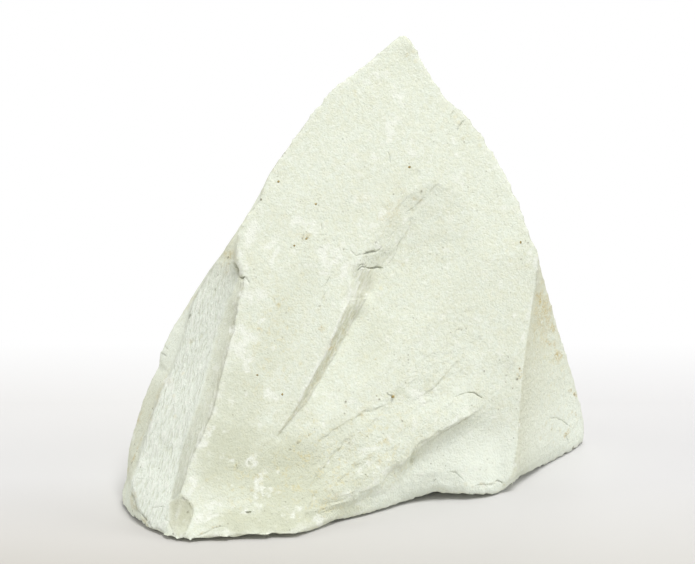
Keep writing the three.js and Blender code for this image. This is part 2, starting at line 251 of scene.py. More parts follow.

# Broken steps: drop in mm, edge width and reach of the low side in pixels, how dark the painted
# shade at the foot is, points. The low side is on the right of someone walking along the points.
STEPS = [
    (0.22, 1, 9, 0.3, [(407.6, 214), (411, 210.4), (416, 207), (420, 202), (424, 197.4), (430, 191.6),
        (434, 188.2), (441, 183.4)]),
    (0.26, 1, 9, 0.34, [(383, 269), (387.6, 265.6), (391, 260.8), (394.6, 255.6), (397, 250.4),
        (399.4, 244.6), (402, 239.6), (405, 234), (408.6, 229), (410.4, 224), (409.6, 218), (407.6, 214)]),
    (0.15, 1, 5, 0.18, [(378, 235), (380, 229), (383.4, 225), (389, 220.6)]),
    (0.14, 1, 5, 0.16, [(381, 210), (387.6, 206), (391, 200.4), (393.4, 194.4)]),
    (0.11, 0.9, 4, 0.12, [(389, 226), (394, 215), (397.6, 207), (402, 200)]),
    (0.11, 0.9, 4, 0.12, [(393, 232), (399, 220), (403, 211), (408, 204)]),
    (0.11, 0.9, 4, 0.12, [(386, 250), (390, 242), (394, 233), (399, 226)]),
    (0.11, 0.9, 4, 0.12, [(381, 244), (384, 237), (386, 230), (391, 222)]),
    (0.15, 1, 5, 0.18, [(374, 265), (376, 260), (380, 257.4), (384, 253)]),
    (0.16, 1.4, 6, 0.2, [(397, 274), (399, 268), (403, 261), (407.4, 250), (409, 243)]),
    (0.16, 1.2, 6, 0.15, [(452, 213), (459, 205), (464, 200), (474.6, 186)]),
    (0.25, 1.4, 6, 0.35, [(372, 291), (377.6, 286), (381.4, 280), (383, 271)]),
    (0.45, 1.3, 10, 0.5, [(312, 455), (316, 448), (320.4, 441), (322, 438), (327, 435.4), (332, 430.8),
        (338, 428), (343, 424.4), (350, 420), (355.6, 416.4), (361, 413.6), (366, 410.2), (374, 407.4),
        (381, 406), (385, 403), (391, 400)]),
    (0.28, 1.2, 7, 0.3, [(365, 433), (367, 427.4), (371.4, 421.6), (376, 417.6), (380, 411.4), (384, 406)]),
    (0.4, 1.3, 10, 0.42, [(309, 489), (312, 483.4), (315.4, 478.6), (318, 473.4), (322.4, 468.6),
        (327, 463), (330.4, 458.4), (334.4, 453.6), (339, 449.4), (342, 443), (348, 438), (355, 433)]),
    (0.3, 1.3, 9, 0.3, [(336, 488), (340, 479), (345, 473.6), (350, 468.6), (355, 465.4), (361, 462.6),
        (369, 458.6)]),
    (0.26, 1.2, 8, 0.25, [(395, 439), (398.6, 433.6), (402.4, 430.4), (407, 427.4), (413, 425)]),
    (0.2, 1.2, 7, 0.2, [(383, 453), (388, 449.6), (394, 446)]),
    (0.24, 1.2, 8, 0.25, [(352, 489.4), (358, 484), (364, 478.4), (369, 474)]),
    (0.22, 1.2, 8, 0.2, [(356, 499), (362, 492), (371, 486)]),
    (0.28, 1.3, 9, 0.4, [(303, 520), (308, 510), (311, 500), (314, 489)]),
    (0.45, 1.3, 12, 0.35, [(420.6, 395.4), (427, 391.6), (432, 388.6), (436.6, 384), (441, 379.4),
        (445.4, 374.6), (449.4, 368.8), (454, 363.2), (459, 358.8)]),
    (0.24, 1.2, 8, 0.25, [(463, 356), (466.4, 349.6), (471, 343.6), (475, 338.8), (479, 335)]),
    (0.24, 1.2, 8, 0.22, [(441, 380.6), (447, 376.4), (453, 373.6), (459, 370), (465.4, 367)]),
    (0.16, 1, 6, 0.22, [(404, 389), (412, 383), (420, 378.4), (428, 376), (436, 371.6), (443, 366)]),
    (0.22, 1.1, 6, 0.35, [(450.4, 340), (453.4, 334.6), (456.4, 329.6), (462, 325)]),
    (0.18, 1.1, 6, 0.15, [(404, 404), (411, 401), (418, 397)]),
    (0.2, 1.2, 8, 0.2, [(410, 414), (424, 404), (434, 399)]),
    (0.18, 1.1, 7, 0.15, [(430, 419), (440, 410), (452, 402)]),
    (0.22, 1.2, 8, 0.22, [(379.6, 490), (382.6, 484.6), (386, 479.6), (389.6, 474.6), (393.6, 467.6),
        (398.6, 463)]),
    (0.25, 1.3, 9, 0.25, [(273.4, 441), (276, 435.4), (280, 431)]),
    (0.14, 1.1, 7, 0.12, [(386, 138), (400, 128), (414, 112)]),
    (0.18, 1.2, 7, 0.22, [(412, 76), (418, 72), (421, 66)]),
    (0.16, 1.1, 6, 0.2, [(416, 82), (423, 79), (428, 74)]),
    (0.14, 1.1, 6, 0.15, [(350, 92), (356, 85), (365, 80)]),
    (0.16, 1.2, 8, 0.15, [(405, 185), (412, 176), (420, 170)]),
    (0.14, 1.1, 7, 0.12, [(456, 322), (463, 313), (471, 307)]),
    (0.14, 1.1, 7, 0.12, [(478, 300), (486, 289), (495, 283)]),
]

# Pale rubbed patches: centre, radii in pixels, turn in degrees, strength
SCUFFS = [
    (249, 236, 9, 15, 8, 1), (268, 246, 8, 5, -20, 0.9), (256, 296, 11, 6, -20, 0.9),
    (244, 340, 6, 15, 6, 1), (247, 364, 5, 12, 4, 0.9), (269, 396, 6, 6, -30, 1), (204, 445, 6, 6, -30, 1),
    (221, 455, 5, 4, 0, 0.8), (192, 488, 5, 9, 14, 1), (208, 515, 14, 5, 0, 0.9), (213, 505, 5, 8, 0, 0.6),
    (320, 254, 18, 7, -42, 0.9), (300, 226, 12, 6, -30, 0.8), (350, 262, 5, 14, 12, 0.7),
    (254, 463, 6, 10, 12, 0.8), (262, 486, 7, 9, 0, 0.42), (418, 394, 8, 5, 42, 1),
    (426, 403, 4, 4, 0, 0.9), (378, 78, 12, 4, -35, 0.6), (402, 104, 4, 10, -24, 0.7),
    (391, 92, 5, 15, -28, 0.7), (391, 130, 4, 12, 5, 0.8), (354, 153.6, 5, 4, 0, 0.8),
    (375, 155.5, 5, 5, 0, 0.8), (411, 149, 3.5, 7, 10, 0.8), (460, 178, 5, 6, 0, 0.7),
    (362, 196, 12, 8, -20, 0.6), (352, 74, 12, 5, -30, 0.5), (305, 228, 17, 8, -35, 0.7),
    (245, 240, 5, 17, 10, 0.8), (328, 258, 20, 14, -15, 0.75), (274, 262, 2.5, 12, 16, 0.8),
    (262, 290, 12, 5, -30, 0.4), (246, 292, 4, 8, 10, 0.7), (240, 345, 5, 22, 6, 0.8),
    (235, 330, 4, 10, 10, 0.7), (264, 320, 5, 3, 8, 0.8), (269.6, 395, 5, 6, -30, 0.9),
    (228, 402, 4, 8, 15, 0.35), (211, 434, 7, 4, -40, 0.6), (203, 444, 4, 7, -10, 0.5),
    (418, 394, 10, 6, 42, 0.7), (406, 388, 7, 4, 20, 0.7), (388, 437, 4, 5, 0, 0.7),
    (384, 476, 5, 7, 40, 0.7), (371, 467, 3, 6, 0, 0.8), (368, 452, 9, 4, -20, 0.4),
    (485, 274, 10, 5, 0, 0.6), (489, 343, 2.2, 8, -28, 0.7), (486, 332, 2, 4, 0, 0.6),
    (424, 346, 3, 7, 30, 0.7), (436, 337, 6, 2, -20, 0.5), (189, 486, 5, 10, 14, 0.6),
    (214, 504, 10, 6, 0, 0.5), (346, 268, 3.5, 20, 6, 0.8), (343, 305, 3, 16, 20, 0.8),
    (330, 338, 2.5, 18, 24, 0.5), (169, 386, 4, 8, 10, 0.9), (160, 400, 3, 5, 10, 0.6),
    (500, 345, 3, 8, -20, 0.4), (527, 320, 2.6, 30, 10, 0.5), (534, 262, 5, 12, 0, 0.5),
    (505, 366, 4, 4, 0, 0.4), (384, 212, 3, 5, 0, 1), (376, 247, 4, 3, 30, 0.9), (361, 192, 6, 4, 0, 0.6),
    (316, 518, 4, 8, 10, 0.7), (297, 512, 9, 6, 20, 0.6), (355, 498, 5, 5, 0, 0.3),
    (458, 418, 10, 3, -32, 0.5), (258, 508, 12, 12, 0, 0.4), (357, 483, 5, 5, 0, 0.5),
    (470, 408, 6, 3, -20, 0.4), (518, 470, 3, 12, 5, 0.4), (348, 402, 14, 8, -20, 0.4),
    (314, 310, 5, 10, 0, 0.3), (290, 366, 5, 3, 0, 0.4), (330, 400, 8, 4, 0, 0.3), (245, 266, 6, 6, 0, 0.5),
    (320, 205, 6, 5, 0, 0.3), (300, 206, 5, 5, 0, 0.3), (375, 225, 6, 8, 0, 0.5), (295, 185, 5, 4, 0, 0.25),
    (282, 156, 5, 4, 0, 0.3), (452, 141, 4, 4, 0, 0.5), (424, 165, 3, 4, 0, 0.4),
]

# Ochre stains: centre, radii, turn, strength
STAINS = [
    (546, 305, 8, 40, 8, 0.3), (541, 301, 2.6, 6, 5, 1), (544, 312, 2.4, 4, -10, 0.9),
    (551, 309, 2, 5, -10, 0.4), (553, 329, 2.4, 4, 0, 0.8), (549, 344, 2.4, 3, 0, 0.8),
    (556, 345, 2, 4, 0, 0.5), (557, 358, 3, 5, 10, 0.5), (228, 256, 3, 4, 0, 0.8), (226, 264, 4, 4, 0, 0.6),
    (227, 272, 3, 4, 0, 0.4), (445.6, 146, 2.4, 3, 0, 0.9), (395.6, 395.4, 4, 4, 0, 1),
    (322, 329, 4, 4, 0, 0.6), (330, 349, 3, 3, 0, 0.9), (333, 344, 3, 6, 30, 0.4),
    (284.6, 299.6, 2, 2, 0, 0.8), (281, 296, 3, 2, 0, 0.5), (277, 306, 5, 2.4, -30, 0.5),
    (272, 309, 3, 2, -30, 0.5), (253, 352, 2.6, 2, 0, 0.5), (258, 328, 2, 2, 0, 0.6),
    (245, 385, 2, 2, 0, 0.4), (518.6, 378, 2.6, 4, 0, 0.9), (519.6, 369.6, 2.4, 2.6, 0, 0.9),
    (514, 372, 2, 2, 0, 0.4), (575, 396, 2, 2, 0, 0.5), (574, 415, 2.4, 2, 0, 0.5),
    (571, 391, 2, 2, 0, 0.5), (566, 435, 2, 4, 20, 0.4), (376, 459, 4, 2, 0, 0.3),
    (369, 458.6, 4, 3, 0, 0.7), (379, 465, 3, 4, 0, 0.5), (354.6, 465.6, 2.6, 2.4, 0, 0.7),
    (332.6, 480.4, 3.4, 3, 0, 0.8), (334, 494, 3, 4, 0, 0.5), (328, 489, 3, 5, 0, 0.4),
    (344, 405.6, 3, 3, 0, 0.6), (361, 414, 3, 3, 0, 0.6), (401, 425, 2, 3, 0, 0.6),
    (385.6, 441.6, 2.4, 2.4, 0, 0.7), (298, 444, 2, 2, 0, 0.8), (262, 478, 3, 5, 40, 0.5),
    (256, 488, 3, 3, 0, 0.5), (253, 491, 3, 2, 0, 0.4), (341, 480, 3, 3, 0, 0.4), (326, 503, 5, 6, 0, 0.3),
    (355, 506, 3, 3, 0, 0.4), (134.6, 500, 3, 9, -10, 0.6), (146.6, 522, 2.4, 5, -10, 0.8),
    (141, 416, 2, 6, 20, 0.6), (139, 421, 2.4, 3, 20, 0.7), (157, 398, 2, 5, 20, 0.6),
    (193, 297, 2.6, 5, 30, 0.8), (187, 308, 2, 5, 30, 0.5), (180.6, 319, 2, 3, 0, 0.6),
    (219, 384, 1.6, 2.4, 0, 1), (170, 382, 3, 3, 0, 0.5), (189, 341, 4, 2, -20, 0.5),
    (274, 172, 2, 2, 0, 0.5), (284, 218, 4, 4, 0, 0.3), (365, 198, 8, 4, -10, 0.3),
    (386, 217, 5, 6, 30, 0.35), (391, 212, 10, 15, 26, 0.28), (410, 224, 1.6, 5, 0, 0.6),
    (402, 187, 6, 6, 30, 0.25), (417, 200, 5, 2, 0, 0.5), (298, 236, 2.4, 3, 0, 0.5),
    (306, 238, 5, 2, -10, 0.6), (336, 262, 2.4, 3, 0, 0.5), (375.6, 358.6, 2, 2, 0, 0.6),
    (345, 350, 3, 3, 0, 0.3), (304, 374, 2, 2, 0, 0.4), (405.6, 58, 2.4, 3, 0, 0.7),
    (350, 88, 1.6, 3, 0, 0.4), (341, 104, 1.6, 4, 0, 0.3), (210, 430, 2, 3, 0, 0.5),
    (202, 533, 5, 1.2, -20, 0.6), (145, 508, 2.4, 3, 0, 0.3), (236, 255, 2, 4, 0, 0.3),
    (250, 260, 4, 4, 0, 0.2), (476, 459, 3, 1.5, 0, 0.4), (463, 376, 3, 2, 0, 0.2),
    (437, 296, 3, 3, 0, 0.2), (442, 232, 3, 4, 0, 0.3), (513, 359, 3, 2, 0, 0.3),
    (190, 300, 1.6, 6, 30, 0.7), (184, 313, 1.4, 5, 20, 0.7), (166, 379, 1.2, 8, 25, 0.6),
    (157, 399, 1.2, 8, 22, 0.6), (149, 419, 1.2, 8, 14, 0.6), (140, 444, 1.3, 8, 20, 0.8),
    (134, 457, 1.3, 7, 28, 0.8), (129, 468, 1.3, 6, 20, 0.7), (146, 522, 3, 7, -25, 0.8),
    (213, 530, 6, 1.2, -14, 0.7), (484, 482, 3, 1.6, 0, 0.6), (493, 481, 3, 1.6, 0, 0.3),
    (503, 485, 2, 2, 0, 0.4), (511, 430.6, 3, 1, 0, 0.3),
]

# Painted shade with some weathering, darker patches of the face: centre, radii, turn, strength
SHADES = [
    (268, 350, 16, 28, 10, 0.35), (290, 478, 46, 46, 0, 0.95), (325, 500, 16, 16, 30, 0.8),
    (310, 500, 8, 18, 15, 0.8), (232, 455, 30, 40, 10, 0.85), (242, 398, 28, 30, 10, 0.45),
    (345, 480, 30, 18, -30, 0.5), (300, 290, 16, 22, 20, 0.2), (280, 330, 16, 42, 12, 0.25),
    (318, 260, 6, 10, 0, 0.2), (414, 175, 14, 14, 0, 0.1), (300, 410, 14, 26, 30, 0.25),
    (375, 345, 18, 30, 20, 0.25), (340, 330, 8, 30, 25, 0.2), (215, 520, 20, 12, 0, 0.4),
    (318, 516, 12, 16, 0, 0.8), (340, 510, 22, 9, -14, 0.7), (258, 470, 28, 32, 0, 0.8),
    (285, 520, 60, 15, 0, 1), (238, 520, 26, 16, 0, 1), (330, 450, 40, 24, -35, 0.35),
    (400, 492, 22, 10, -10, 0.1), (180, 512, 8, 13, 0, 0.8), (425, 385, 14, 4, -38, 0.35),
    (403, 395, 8, 4, 0, 0.5),
]

# Regions with a rougher tooth: centre, radii, turn, strength
ROUGH = [
    (393, 226, 15, 38, 26, 0.3), (372, 260, 13, 12, 0, 0.4), (335, 470, 48, 38, -35, 0.9),
    (450, 425, 50, 22, -32, 0.7), (432, 372, 40, 20, -42, 0.6), (325, 255, 22, 20, 0, 0.5),
    (270, 490, 45, 40, 0, 0.6), (420, 455, 30, 25, 0, 0.4),
]

# Broken areas with fine strands up them, and areas dusted with ochre
STRANDS = [
    (393, 226, 15, 38, 26, 0.16), (372, 262, 13, 12, 0, 0.3), (362, 272, 10, 12, 0, 0.7),
    (362, 285, 9, 20, 25, 1),
]
DUST = [
    (315, 470, 40, 50, -20, 1), (255, 480, 35, 40, 0, 0.6), (275, 340, 25, 60, 12, 0.6),
    (380, 440, 50, 40, -30, 0.6), (386, 222, 12, 22, 20, 0.5), (545, 310, 13, 60, 8, 1),
    (556, 360, 10, 30, 10, 0.6), (230, 255, 8, 14, 0, 0.8), (560, 420, 20, 30, 0, 0.4),
    (440, 375, 30, 20, -42, 0.3),
]

# Single dark specks in the stone: centre, radius in pixels
SPECKS = [
    (409, 164.6, 0.9), (421.6, 192.3, 1.3), (393.4, 195, 0.9), (413.4, 319, 0.9), (416.4, 319.4, 0.8),
    (318.6, 205.8, 0.8), (277.6, 177.4, 0.8), (260.6, 196, 1.4), (260.8, 200.2, 1.7), (283.4, 152.4, 1.5),
    (281.4, 155.4, 1.3), (345.6, 402.4, 1.4), (344, 414.4, 0.9), (302.6, 239, 1.1), (307.4, 238.4, 1.2),
    (303.4, 235.6, 0.9), (306.4, 232.6, 0.8), (291, 248.2, 0.9), (379.4, 400.4, 1.2), (376.4, 396.6, 0.9),
    (519.8, 369.8, 1.1), (517.4, 380, 1.4), (519, 377, 1), (152.4, 409.4, 1.4), (145, 437.6, 1.2),
    (134, 445, 1.1), (137, 452, 0.9), (132, 463, 1.5), (133, 508.4, 1.1), (528.2, 243.4, 1.1),
    (525.4, 241.4, 0.9), (574, 395.6, 1.4), (572.2, 447, 2.1), (551.4, 430.2, 1), (513.4, 438.8, 0.9),
    (512.4, 389.4, 0.9), (484, 371.8, 1.1), (402.4, 421.8, 1.3), (349.4, 443.6, 1.1), (367.4, 437, 0.8),
    (394.4, 474, 0.7), (353.6, 498, 0.9), (332.4, 490.4, 0.9), (445.6, 466.8, 0.8), (343.6, 250, 0.9),
    (376.2, 243.6, 1.1), (228.2, 258, 1.5), (218, 276, 1), (215.6, 291, 0.7), (160.4, 382.6, 1),
    (188, 511, 1), (173.4, 532, 1.1), (197, 518, 0.8), (159, 469, 0.9), (290.4, 450.4, 0.9),
    (308.6, 436, 0.9), (314.4, 429.2, 0.8), (312.4, 419.4, 0.7), (285.4, 501, 0.8), (264, 446.4, 0.8),
    (297.8, 444, 1.1), (245, 391, 0.8), (237, 370, 0.6), (237, 387.6, 0.6), (306.4, 360, 0.7),
    (320, 307, 1), (361.4, 349.4, 0.7), (326.6, 301, 0.6), (342, 308, 0.7), (530.4, 390, 0.8),
    (540.4, 392, 0.8), (526.6, 357.6, 0.7), (499.6, 361, 0.8), (508, 357.4, 0.7), (510.6, 293.4, 0.7),
    (467, 251.4, 0.8), (463.4, 270, 0.7), (475.6, 279, 0.6), (436.6, 255.6, 0.8), (430.4, 255, 0.7),
    (423, 261.6, 0.7), (412, 264.6, 0.6), (502, 196, 0.6), (513, 227, 0.7), (398.4, 86.4, 0.6),
    (344.6, 165.6, 0.7), (300.4, 202.4, 0.7), (320.4, 198.6, 0.7), (364.6, 167.4, 0.7), (256.4, 228.6, 0.7),
    (464.4, 142.6, 0.9), (433.8, 142.6, 0.7), (405.4, 383.6, 0.9), (431, 464, 0.7), (443, 456, 0.6),
    (489, 431, 0.6), (391.6, 492.6, 0.7), (437, 447.6, 0.7), (422, 437, 0.6), (387, 449.6, 0.7),
    (471, 497, 0.6), (507, 485.6, 0.6),
]


# Patches with their outlines: the scarp's wall, the dark fan above it, the walls beside
# the slab, the chip at its toe, the facets at the far left, the right face's dark strip
# and the scar's floor
SCARP_WALL = [
    (351, 300), (349.5, 300), (345, 309), (341, 317), (338, 325), (335, 331), (331.5, 340), (330, 347),
    (326.5, 352), (322.5, 360), (318, 368), (312, 378), (309, 384), (304, 392), (301, 398), (298, 406),
    (292, 415), (287, 422), (279, 432), (280, 433), (284, 428), (291, 421), (297, 413), (303, 407),
    (309, 399), (312, 394), (316, 387), (321, 380), (324, 374), (328, 366), (333, 360), (337, 353),
    (339.5, 347), (342, 341), (347, 334), (350, 328), (354, 320), (358, 313), (362, 306), (366, 299),
]
SCARP_LIP = [
    (346, 270), (350, 280), (351.5, 292), (349.5, 300), (345, 309), (341, 317), (335, 331), (330, 347),
    (322.5, 360), (312, 378), (304, 392), (298, 406),
]
SCARP_FAN = [
    (351, 301), (351, 290), (352, 278), (356, 271), (364, 268.6), (374, 270), (381, 271), (378, 280),
    (373, 287), (368, 296), (363, 304), (357, 308),
]
SLAB_WALL = [
    (235, 284), (244, 282), (243, 293), (238, 302), (236.5, 315), (234, 328), (230.5, 340), (226, 358),
    (221, 377), (217.5, 392), (214, 408), (206, 428), (200, 442), (193, 455), (187, 470), (184, 482),
    (180, 492), (170, 500), (172, 488), (176, 478), (178.5, 470), (180, 460), (182, 450), (186, 440),
    (190, 430), (196, 415), (200, 400), (206, 380), (212, 360), (218, 335), (226, 310), (232, 295),
]
TOE_CHIP = [
    (170, 500), (181, 499), (189, 500), (192.5, 506), (193, 513), (190, 519), (188, 530), (183, 536),
    (176, 535), (170, 524), (169, 512),
]
LEFT_FACETS = [
    (193, 297), (190, 308), (186, 325), (181, 345), (178, 358), (167, 381), (160, 395), (152.5, 410),
    (148, 430), (142, 447), (139, 463), (130, 480), (124, 490), (118, 480), (125, 440), (138, 405),
    (150, 378), (158, 360), (160, 345), (172, 322), (184, 305),
]
CREST = [
    (539, 255), (535, 295), (530, 325), (525, 355), (521, 388), (518, 420), (517, 455), (514, 474),
    (508, 487),
]
RIGHT_FACE = [
    (547, 280), (556, 310), (566, 345), (577, 385), (586, 415), (590, 440), (560, 457), (530, 474),
] + CREST[::-1]
SLAB_EDGE = [
    (240, 224), (241, 245), (239, 262), (244, 280), (244, 290), (241, 297), (238, 302), (237, 308),
    (236.5, 315), (234, 322), (234, 328), (235, 331), (230.5, 340), (228, 350), (226, 358), (223.5, 366),
    (221, 377), (218.5, 383), (217.5, 392), (216, 400), (214, 408), (211, 418), (206, 428), (203, 435),
    (200, 442), (197, 448), (193, 455), (190, 461), (187, 470), (186, 477), (184, 482), (182, 486),
    (180, 493),
]
NOTCH = [
    (244, 219), (239, 235), (238.5, 250), (236.5, 260), (230, 265), (219, 262), (222, 254), (227, 246),
    (233, 237),
]
NOTCH_EDGE = [(235, 254), (236, 262), (239.5, 270), (242, 277)]
SCAR_FLOOR = [
    (504, 402), (482, 411), (467, 421), (450, 431), (436, 440), (424, 452), (412, 466), (402, 480),
    (396, 492), (440, 490), (480, 494), (497, 492), (508, 484), (515, 470), (517, 440), (517, 405),
]
BAND = [
    (240, 280), (228, 300), (216, 335), (206, 375), (196, 410), (186, 438), (178, 470), (172, 495),
    (168, 530), (150, 528), (138, 505), (132, 486), (140, 455), (148, 430), (155, 403), (170, 376),
    (181, 345), (190, 308), (200, 288), (215, 262), (232, 262),
]

# The scar's ridge: places on the straight crease, and how far each moves, in pixels
RIDGE = [
    (503, 388, 0, 0), (492, 396.3, 0, 1), (482, 403.8, 0, 3), (473, 410.6, 0.6, 3.8),
    (467, 415.1, -0.6, 2.4), (460, 420.4, 0.6, -0.4), (455, 424, -0.6, 0.4), (450, 427.9, 0.4, -1.4),
    (444, 432.4, -0.8, -2.2), (440, 435.4, -0.6, -4.8), (435, 439.2, -1.2, -3.4), (430, 443, -0.4, -4),
    (422, 449, -2, -5.6), (418, 452, -3, -4.5), (414, 460, -5, -3), (410, 475, -4, 0),
]

# Where the ridge fades: centre, and the inner and outer radius in pixels
RIDGE_ENDS = [(497, 395, 24, 46), (398, 482, 8, 26), (358, 303, 6, 22)]

# The crest's foot: places on the straight crease, and how far each moves, in pixels
CREST_FOOT = [
    (518, 430, 0, 0), (516.6, 450, 0, 0), (515.4, 458, 0.8, 0), (512, 469, 2.6, 0.5), (508, 480, 4.4, 1),
    (504.4, 487, 4, 1.5),
]

# The lower edge along the front: its line in pixels, and the gap under it in mm
LOWER_EDGE = [
    (120, 500), (125.4, 510), (131.6, 518.4), (140.5, 524.6), (146, 529), (153, 531), (160, 533.6),
    (170, 537), (179, 539.4), (191, 539.4), (209, 538), (216, 536.7), (229, 536.7), (233, 538),
    (239, 535.8), (260, 536.3), (290, 535), (300, 533), (310, 530), (320, 527.5), (330, 522.5),
    (340, 518.5), (360, 514), (380, 508.5), (400, 504), (406, 502.6), (413, 499.4), (416, 496.5),
    (422, 497), (431, 495.3), (436, 492), (442, 493.6), (453, 494.8), (466, 494.8), (475, 497),
    (489, 497.7), (497, 495.3), (505, 488.6), (511, 482), (515, 479.5), (530, 473.5), (560, 457),
    (592, 440),
]
# Painted light on a low strip: centre, radii, turn, strength
LOW_STRIP = [(405, 492, 36, 12, -14, 1)]
EDGE_GAP = [
    (120, 0.15), (134, 0.35), (150, 0.4), (170, 0.35), (200, 0.45), (232, 0.65), (262, 0.6), (290, 0.45),
    (310, 0.4), (330, 0.45), (360, 0.55), (395, 0.4), (410, 0.35), (414, 0.5), (424, 0.3), (436, 0.55),
    (448, 0.5), (464, 0.35), (478, 0.15), (497, 0.05), (520, 0.05), (560, 0.04), (592, 0.04),
]


def blobs(rows, pix):
    """Soft round patches, at each place as strong as the strongest one."""
    total = np.zeros(len(pix))
    for x, y, across, along, turn, strength in rows:
        a = math.radians(turn)
        dx, dy = (pix - np.array([x, y])).T
        u = dx * math.cos(a) + dy * math.sin(a)
        v = -dx * math.sin(a) + dy * math.cos(a)
        r = np.sqrt((u / across) ** 2 + (v / along) ** 2)
        total = np.maximum(total, strength * (1 - smooth(0.45, 1.5, r)))
    return total


def within(outline, pix, soft):
    """1 inside an outline and 0 outside it, with an edge that many pixels wide."""
    pts = np.array(outline, float)
    odd = np.zeros(len(pix), bool)
    for a, b in zip(pts, np.roll(pts, -1, axis=0)):
        crosses = (a[1] > pix[:, 1]) != (b[1] > pix[:, 1])
        place = (b[0] - a[0]) * (pix[:, 1] - a[1]) / (b[1] - a[1] + 1e-9) + a[0]
        odd ^= crosses & (pix[:, 0] < place)
    gap = polyline(outline + outline[:1], pix)[0]
    return smooth(-0.5 * soft, 0.5 * soft, np.where(odd, gap, -gap))


# ---- Stone: a fine copy of the CAD lump, broken and worn in code ----
VOXEL = 0.9 * MM
CREASE_ANGLE = math.radians(13.0)
SHARP_ANGLE = math.radians(34.0)
CREASE_STEP = 0.1 * MM
CREASE_REACH = 0.24 * MM
POCKET_REACH = 1.3 * MM
RIDGE_ROUNDS = 600
CREST_CLEAR = (2.5, 8.0)
TO_EYE = np.array(-VIEW_AXIS)
FACE_OUT = np.array([0.2, -0.911, 0.364])
FACE_OUT = FACE_OUT / np.linalg.norm(FACE_OUT)

# Where the mesh is refined: lines and how near to them, and a box round the fan
FINE_LINES = [(row[-1], 2.8) for row in CRACKS] + [(row[-1], 2.4) for row in STEPS if row[0] > 0.19]
FINE_LINES += [(SLAB_EDGE, 2.3), (CREST, 2.2), (SCARP_WALL, 2.4), (SCARP_FAN, 2.4)]
FINE_LINES += [([row[:2] for row in RIDGE], 3.2)]
FINEST_LINES = [(row[-1], 1.9) for row in CRACKS]
FAN_BOX = (364, 286, 15, 19)


def voxel_copy(node):
    """A closed, even mesh of the node's shape."""
    source = placed("fine", node.data.copy())
    remesh = source.modifiers.new("remesh", "REMESH")
    remesh.mode = "VOXEL"
    remesh.voxel_size = VOXEL
    graph = bpy.context.evaluated_depsgraph_get()
    mesh = bpy.data.meshes.new_from_object(source.evaluated_get(graph))
    bpy.data.objects.remove(source)
    return mesh


def read(items, field, width, kind=float):
    """A row of values for each vertex or edge of a mesh."""
    flat = np.empty(len(items) * width, kind)
    items.foreach_get(field, flat)
    return flat.reshape(-1, width)


def read_points(mesh):
    return read(mesh.vertices, "co", 3)


def read_normals(mesh):
    return read(mesh.vertices, "normal", 3)


def read_edges(mesh):
    return read(mesh.edges, "vertices", 2, int)


def write_points(mesh, points):
    mesh.vertices.foreach_set("co", points.astype(np.float32).ravel())
    mesh.update()


def tree_of(places):
    """A search tree over places, numbered in their order."""
    tree = KDTree(len(places))
    for k, place in enumerate(places):
        tree.insert(place, k)
    tree.balance()
    return tree


def blend(first, second, share):
    """Points between two sets, by a share for each point."""
    share = share[:, None]
    return first * (1 - share) + second * share


def average(values, edges, rounds, share=0.5, free=1.0):
    """Each point's value drawn towards its neighbours', where it is free to move."""
    values = values.copy() if values.ndim > 1 else values[:, None].copy()
    count = np.maximum(np.bincount(edges.ravel(), minlength=len(values)), 1).astype(float)
    for _ in range(rounds):
        for column in values.T:
            total = np.bincount(edges[:, 0], column[edges[:, 1]], len(values))
            total += np.bincount(edges[:, 1], column[edges[:, 0]], len(values))
            column += free * share * (total / count - column)
    return values if values.shape[1] > 1 else values[:, 0]


def eased_where(points, edges, keep, rounds):
    """Points averaged where a mask is set, worked out on that part of the mesh alone."""
    part = np.flatnonzero(keep > 0)
    slot = np.full(len(points), -1)
    slot[part] = np.arange(len(part))
    ends = slot[edges]
    inner = (ends >= 0).all(axis=1)
    border = ends[(ends >= 0).any(axis=1) & ~inner]
    free = np.ones(len(part))
    free[border[border >= 0]] = 0.0
    out = points.copy()
    out[part] = blend(points[part], average(points[part], ends[inner], rounds, 0.5, free), keep[part])
    return out


@contextlib.contextmanager
def edited(mesh, out=None):
    """A mesh opened for editing, and written back, or out to another mesh."""
    work = bmesh.new()
    work.from_mesh(mesh)
    yield work
    work.to_mesh(out or mesh)
    work.free()


def refine(mesh, near):
    """Halves the edges whose two ends near() picks."""
    picked = near(read_points(mesh), read_normals(mesh))
    with edited(mesh) as work:
        edges = [e for e in work.edges if picked[e.verts[0].index] and picked[e.verts[1].index]]
        bmesh.ops.subdivide_edges(work, edges=edges, cuts=1, use_grid_fill=True)
        bmesh.ops.triangulate(work, faces=[f for f in work.faces if len(f.verts) > 4])
    mesh.update()


def shade_smooth(mesh):
    for polygon in mesh.polygons:
        polygon.use_smooth = True


def mark_creases(mesh):
    """Edges sharper than the limit are shaded as creases."""
    with edited(mesh) as work:
        for edge in work.edges:
            edge.smooth = len(edge.link_faces) != 2 or edge.calc_face_angle(0.0) < SHARP_ANGLE


def nearest_on(tree, points, share=1.0):
    """Points drawn onto a surface."""
    out = points.copy()
    for k, place in enumerate(points):
        hit = tree.find_nearest(Vector(place))
        out[k] += share * (np.array(hit[0]) - place)
    return out


def crease_places(node):
    """A search tree over places along the CAD solid's sharp edges."""
    work = bmesh.new()
    work.from_mesh(node.data)
    bmesh.ops.remove_doubles(work, verts=work.verts, dist=0.001 * MM)
    work.normal_update()
    places = []
    for edge in work.edges:
        if len(edge.link_faces) == 2 and edge.calc_face_angle(0.0) >= CREASE_ANGLE:
            a, b = [np.array(v.co) for v in edge.verts]
            count = max(int(edge.calc_length() / CREASE_STEP), 1)
            places += [a + (b - a) * k / count for k in range(count + 1)]
    work.free()
    return tree_of(places)


def drawn_to_creases(tree, points):
    """Points close to a sharp edge, moved onto it."""
    out = points.copy()
    for k, place in enumerate(points):
        spot, _, gap = tree.find(place)
        if gap < CREASE_REACH:
            out[k] = spot
    return out


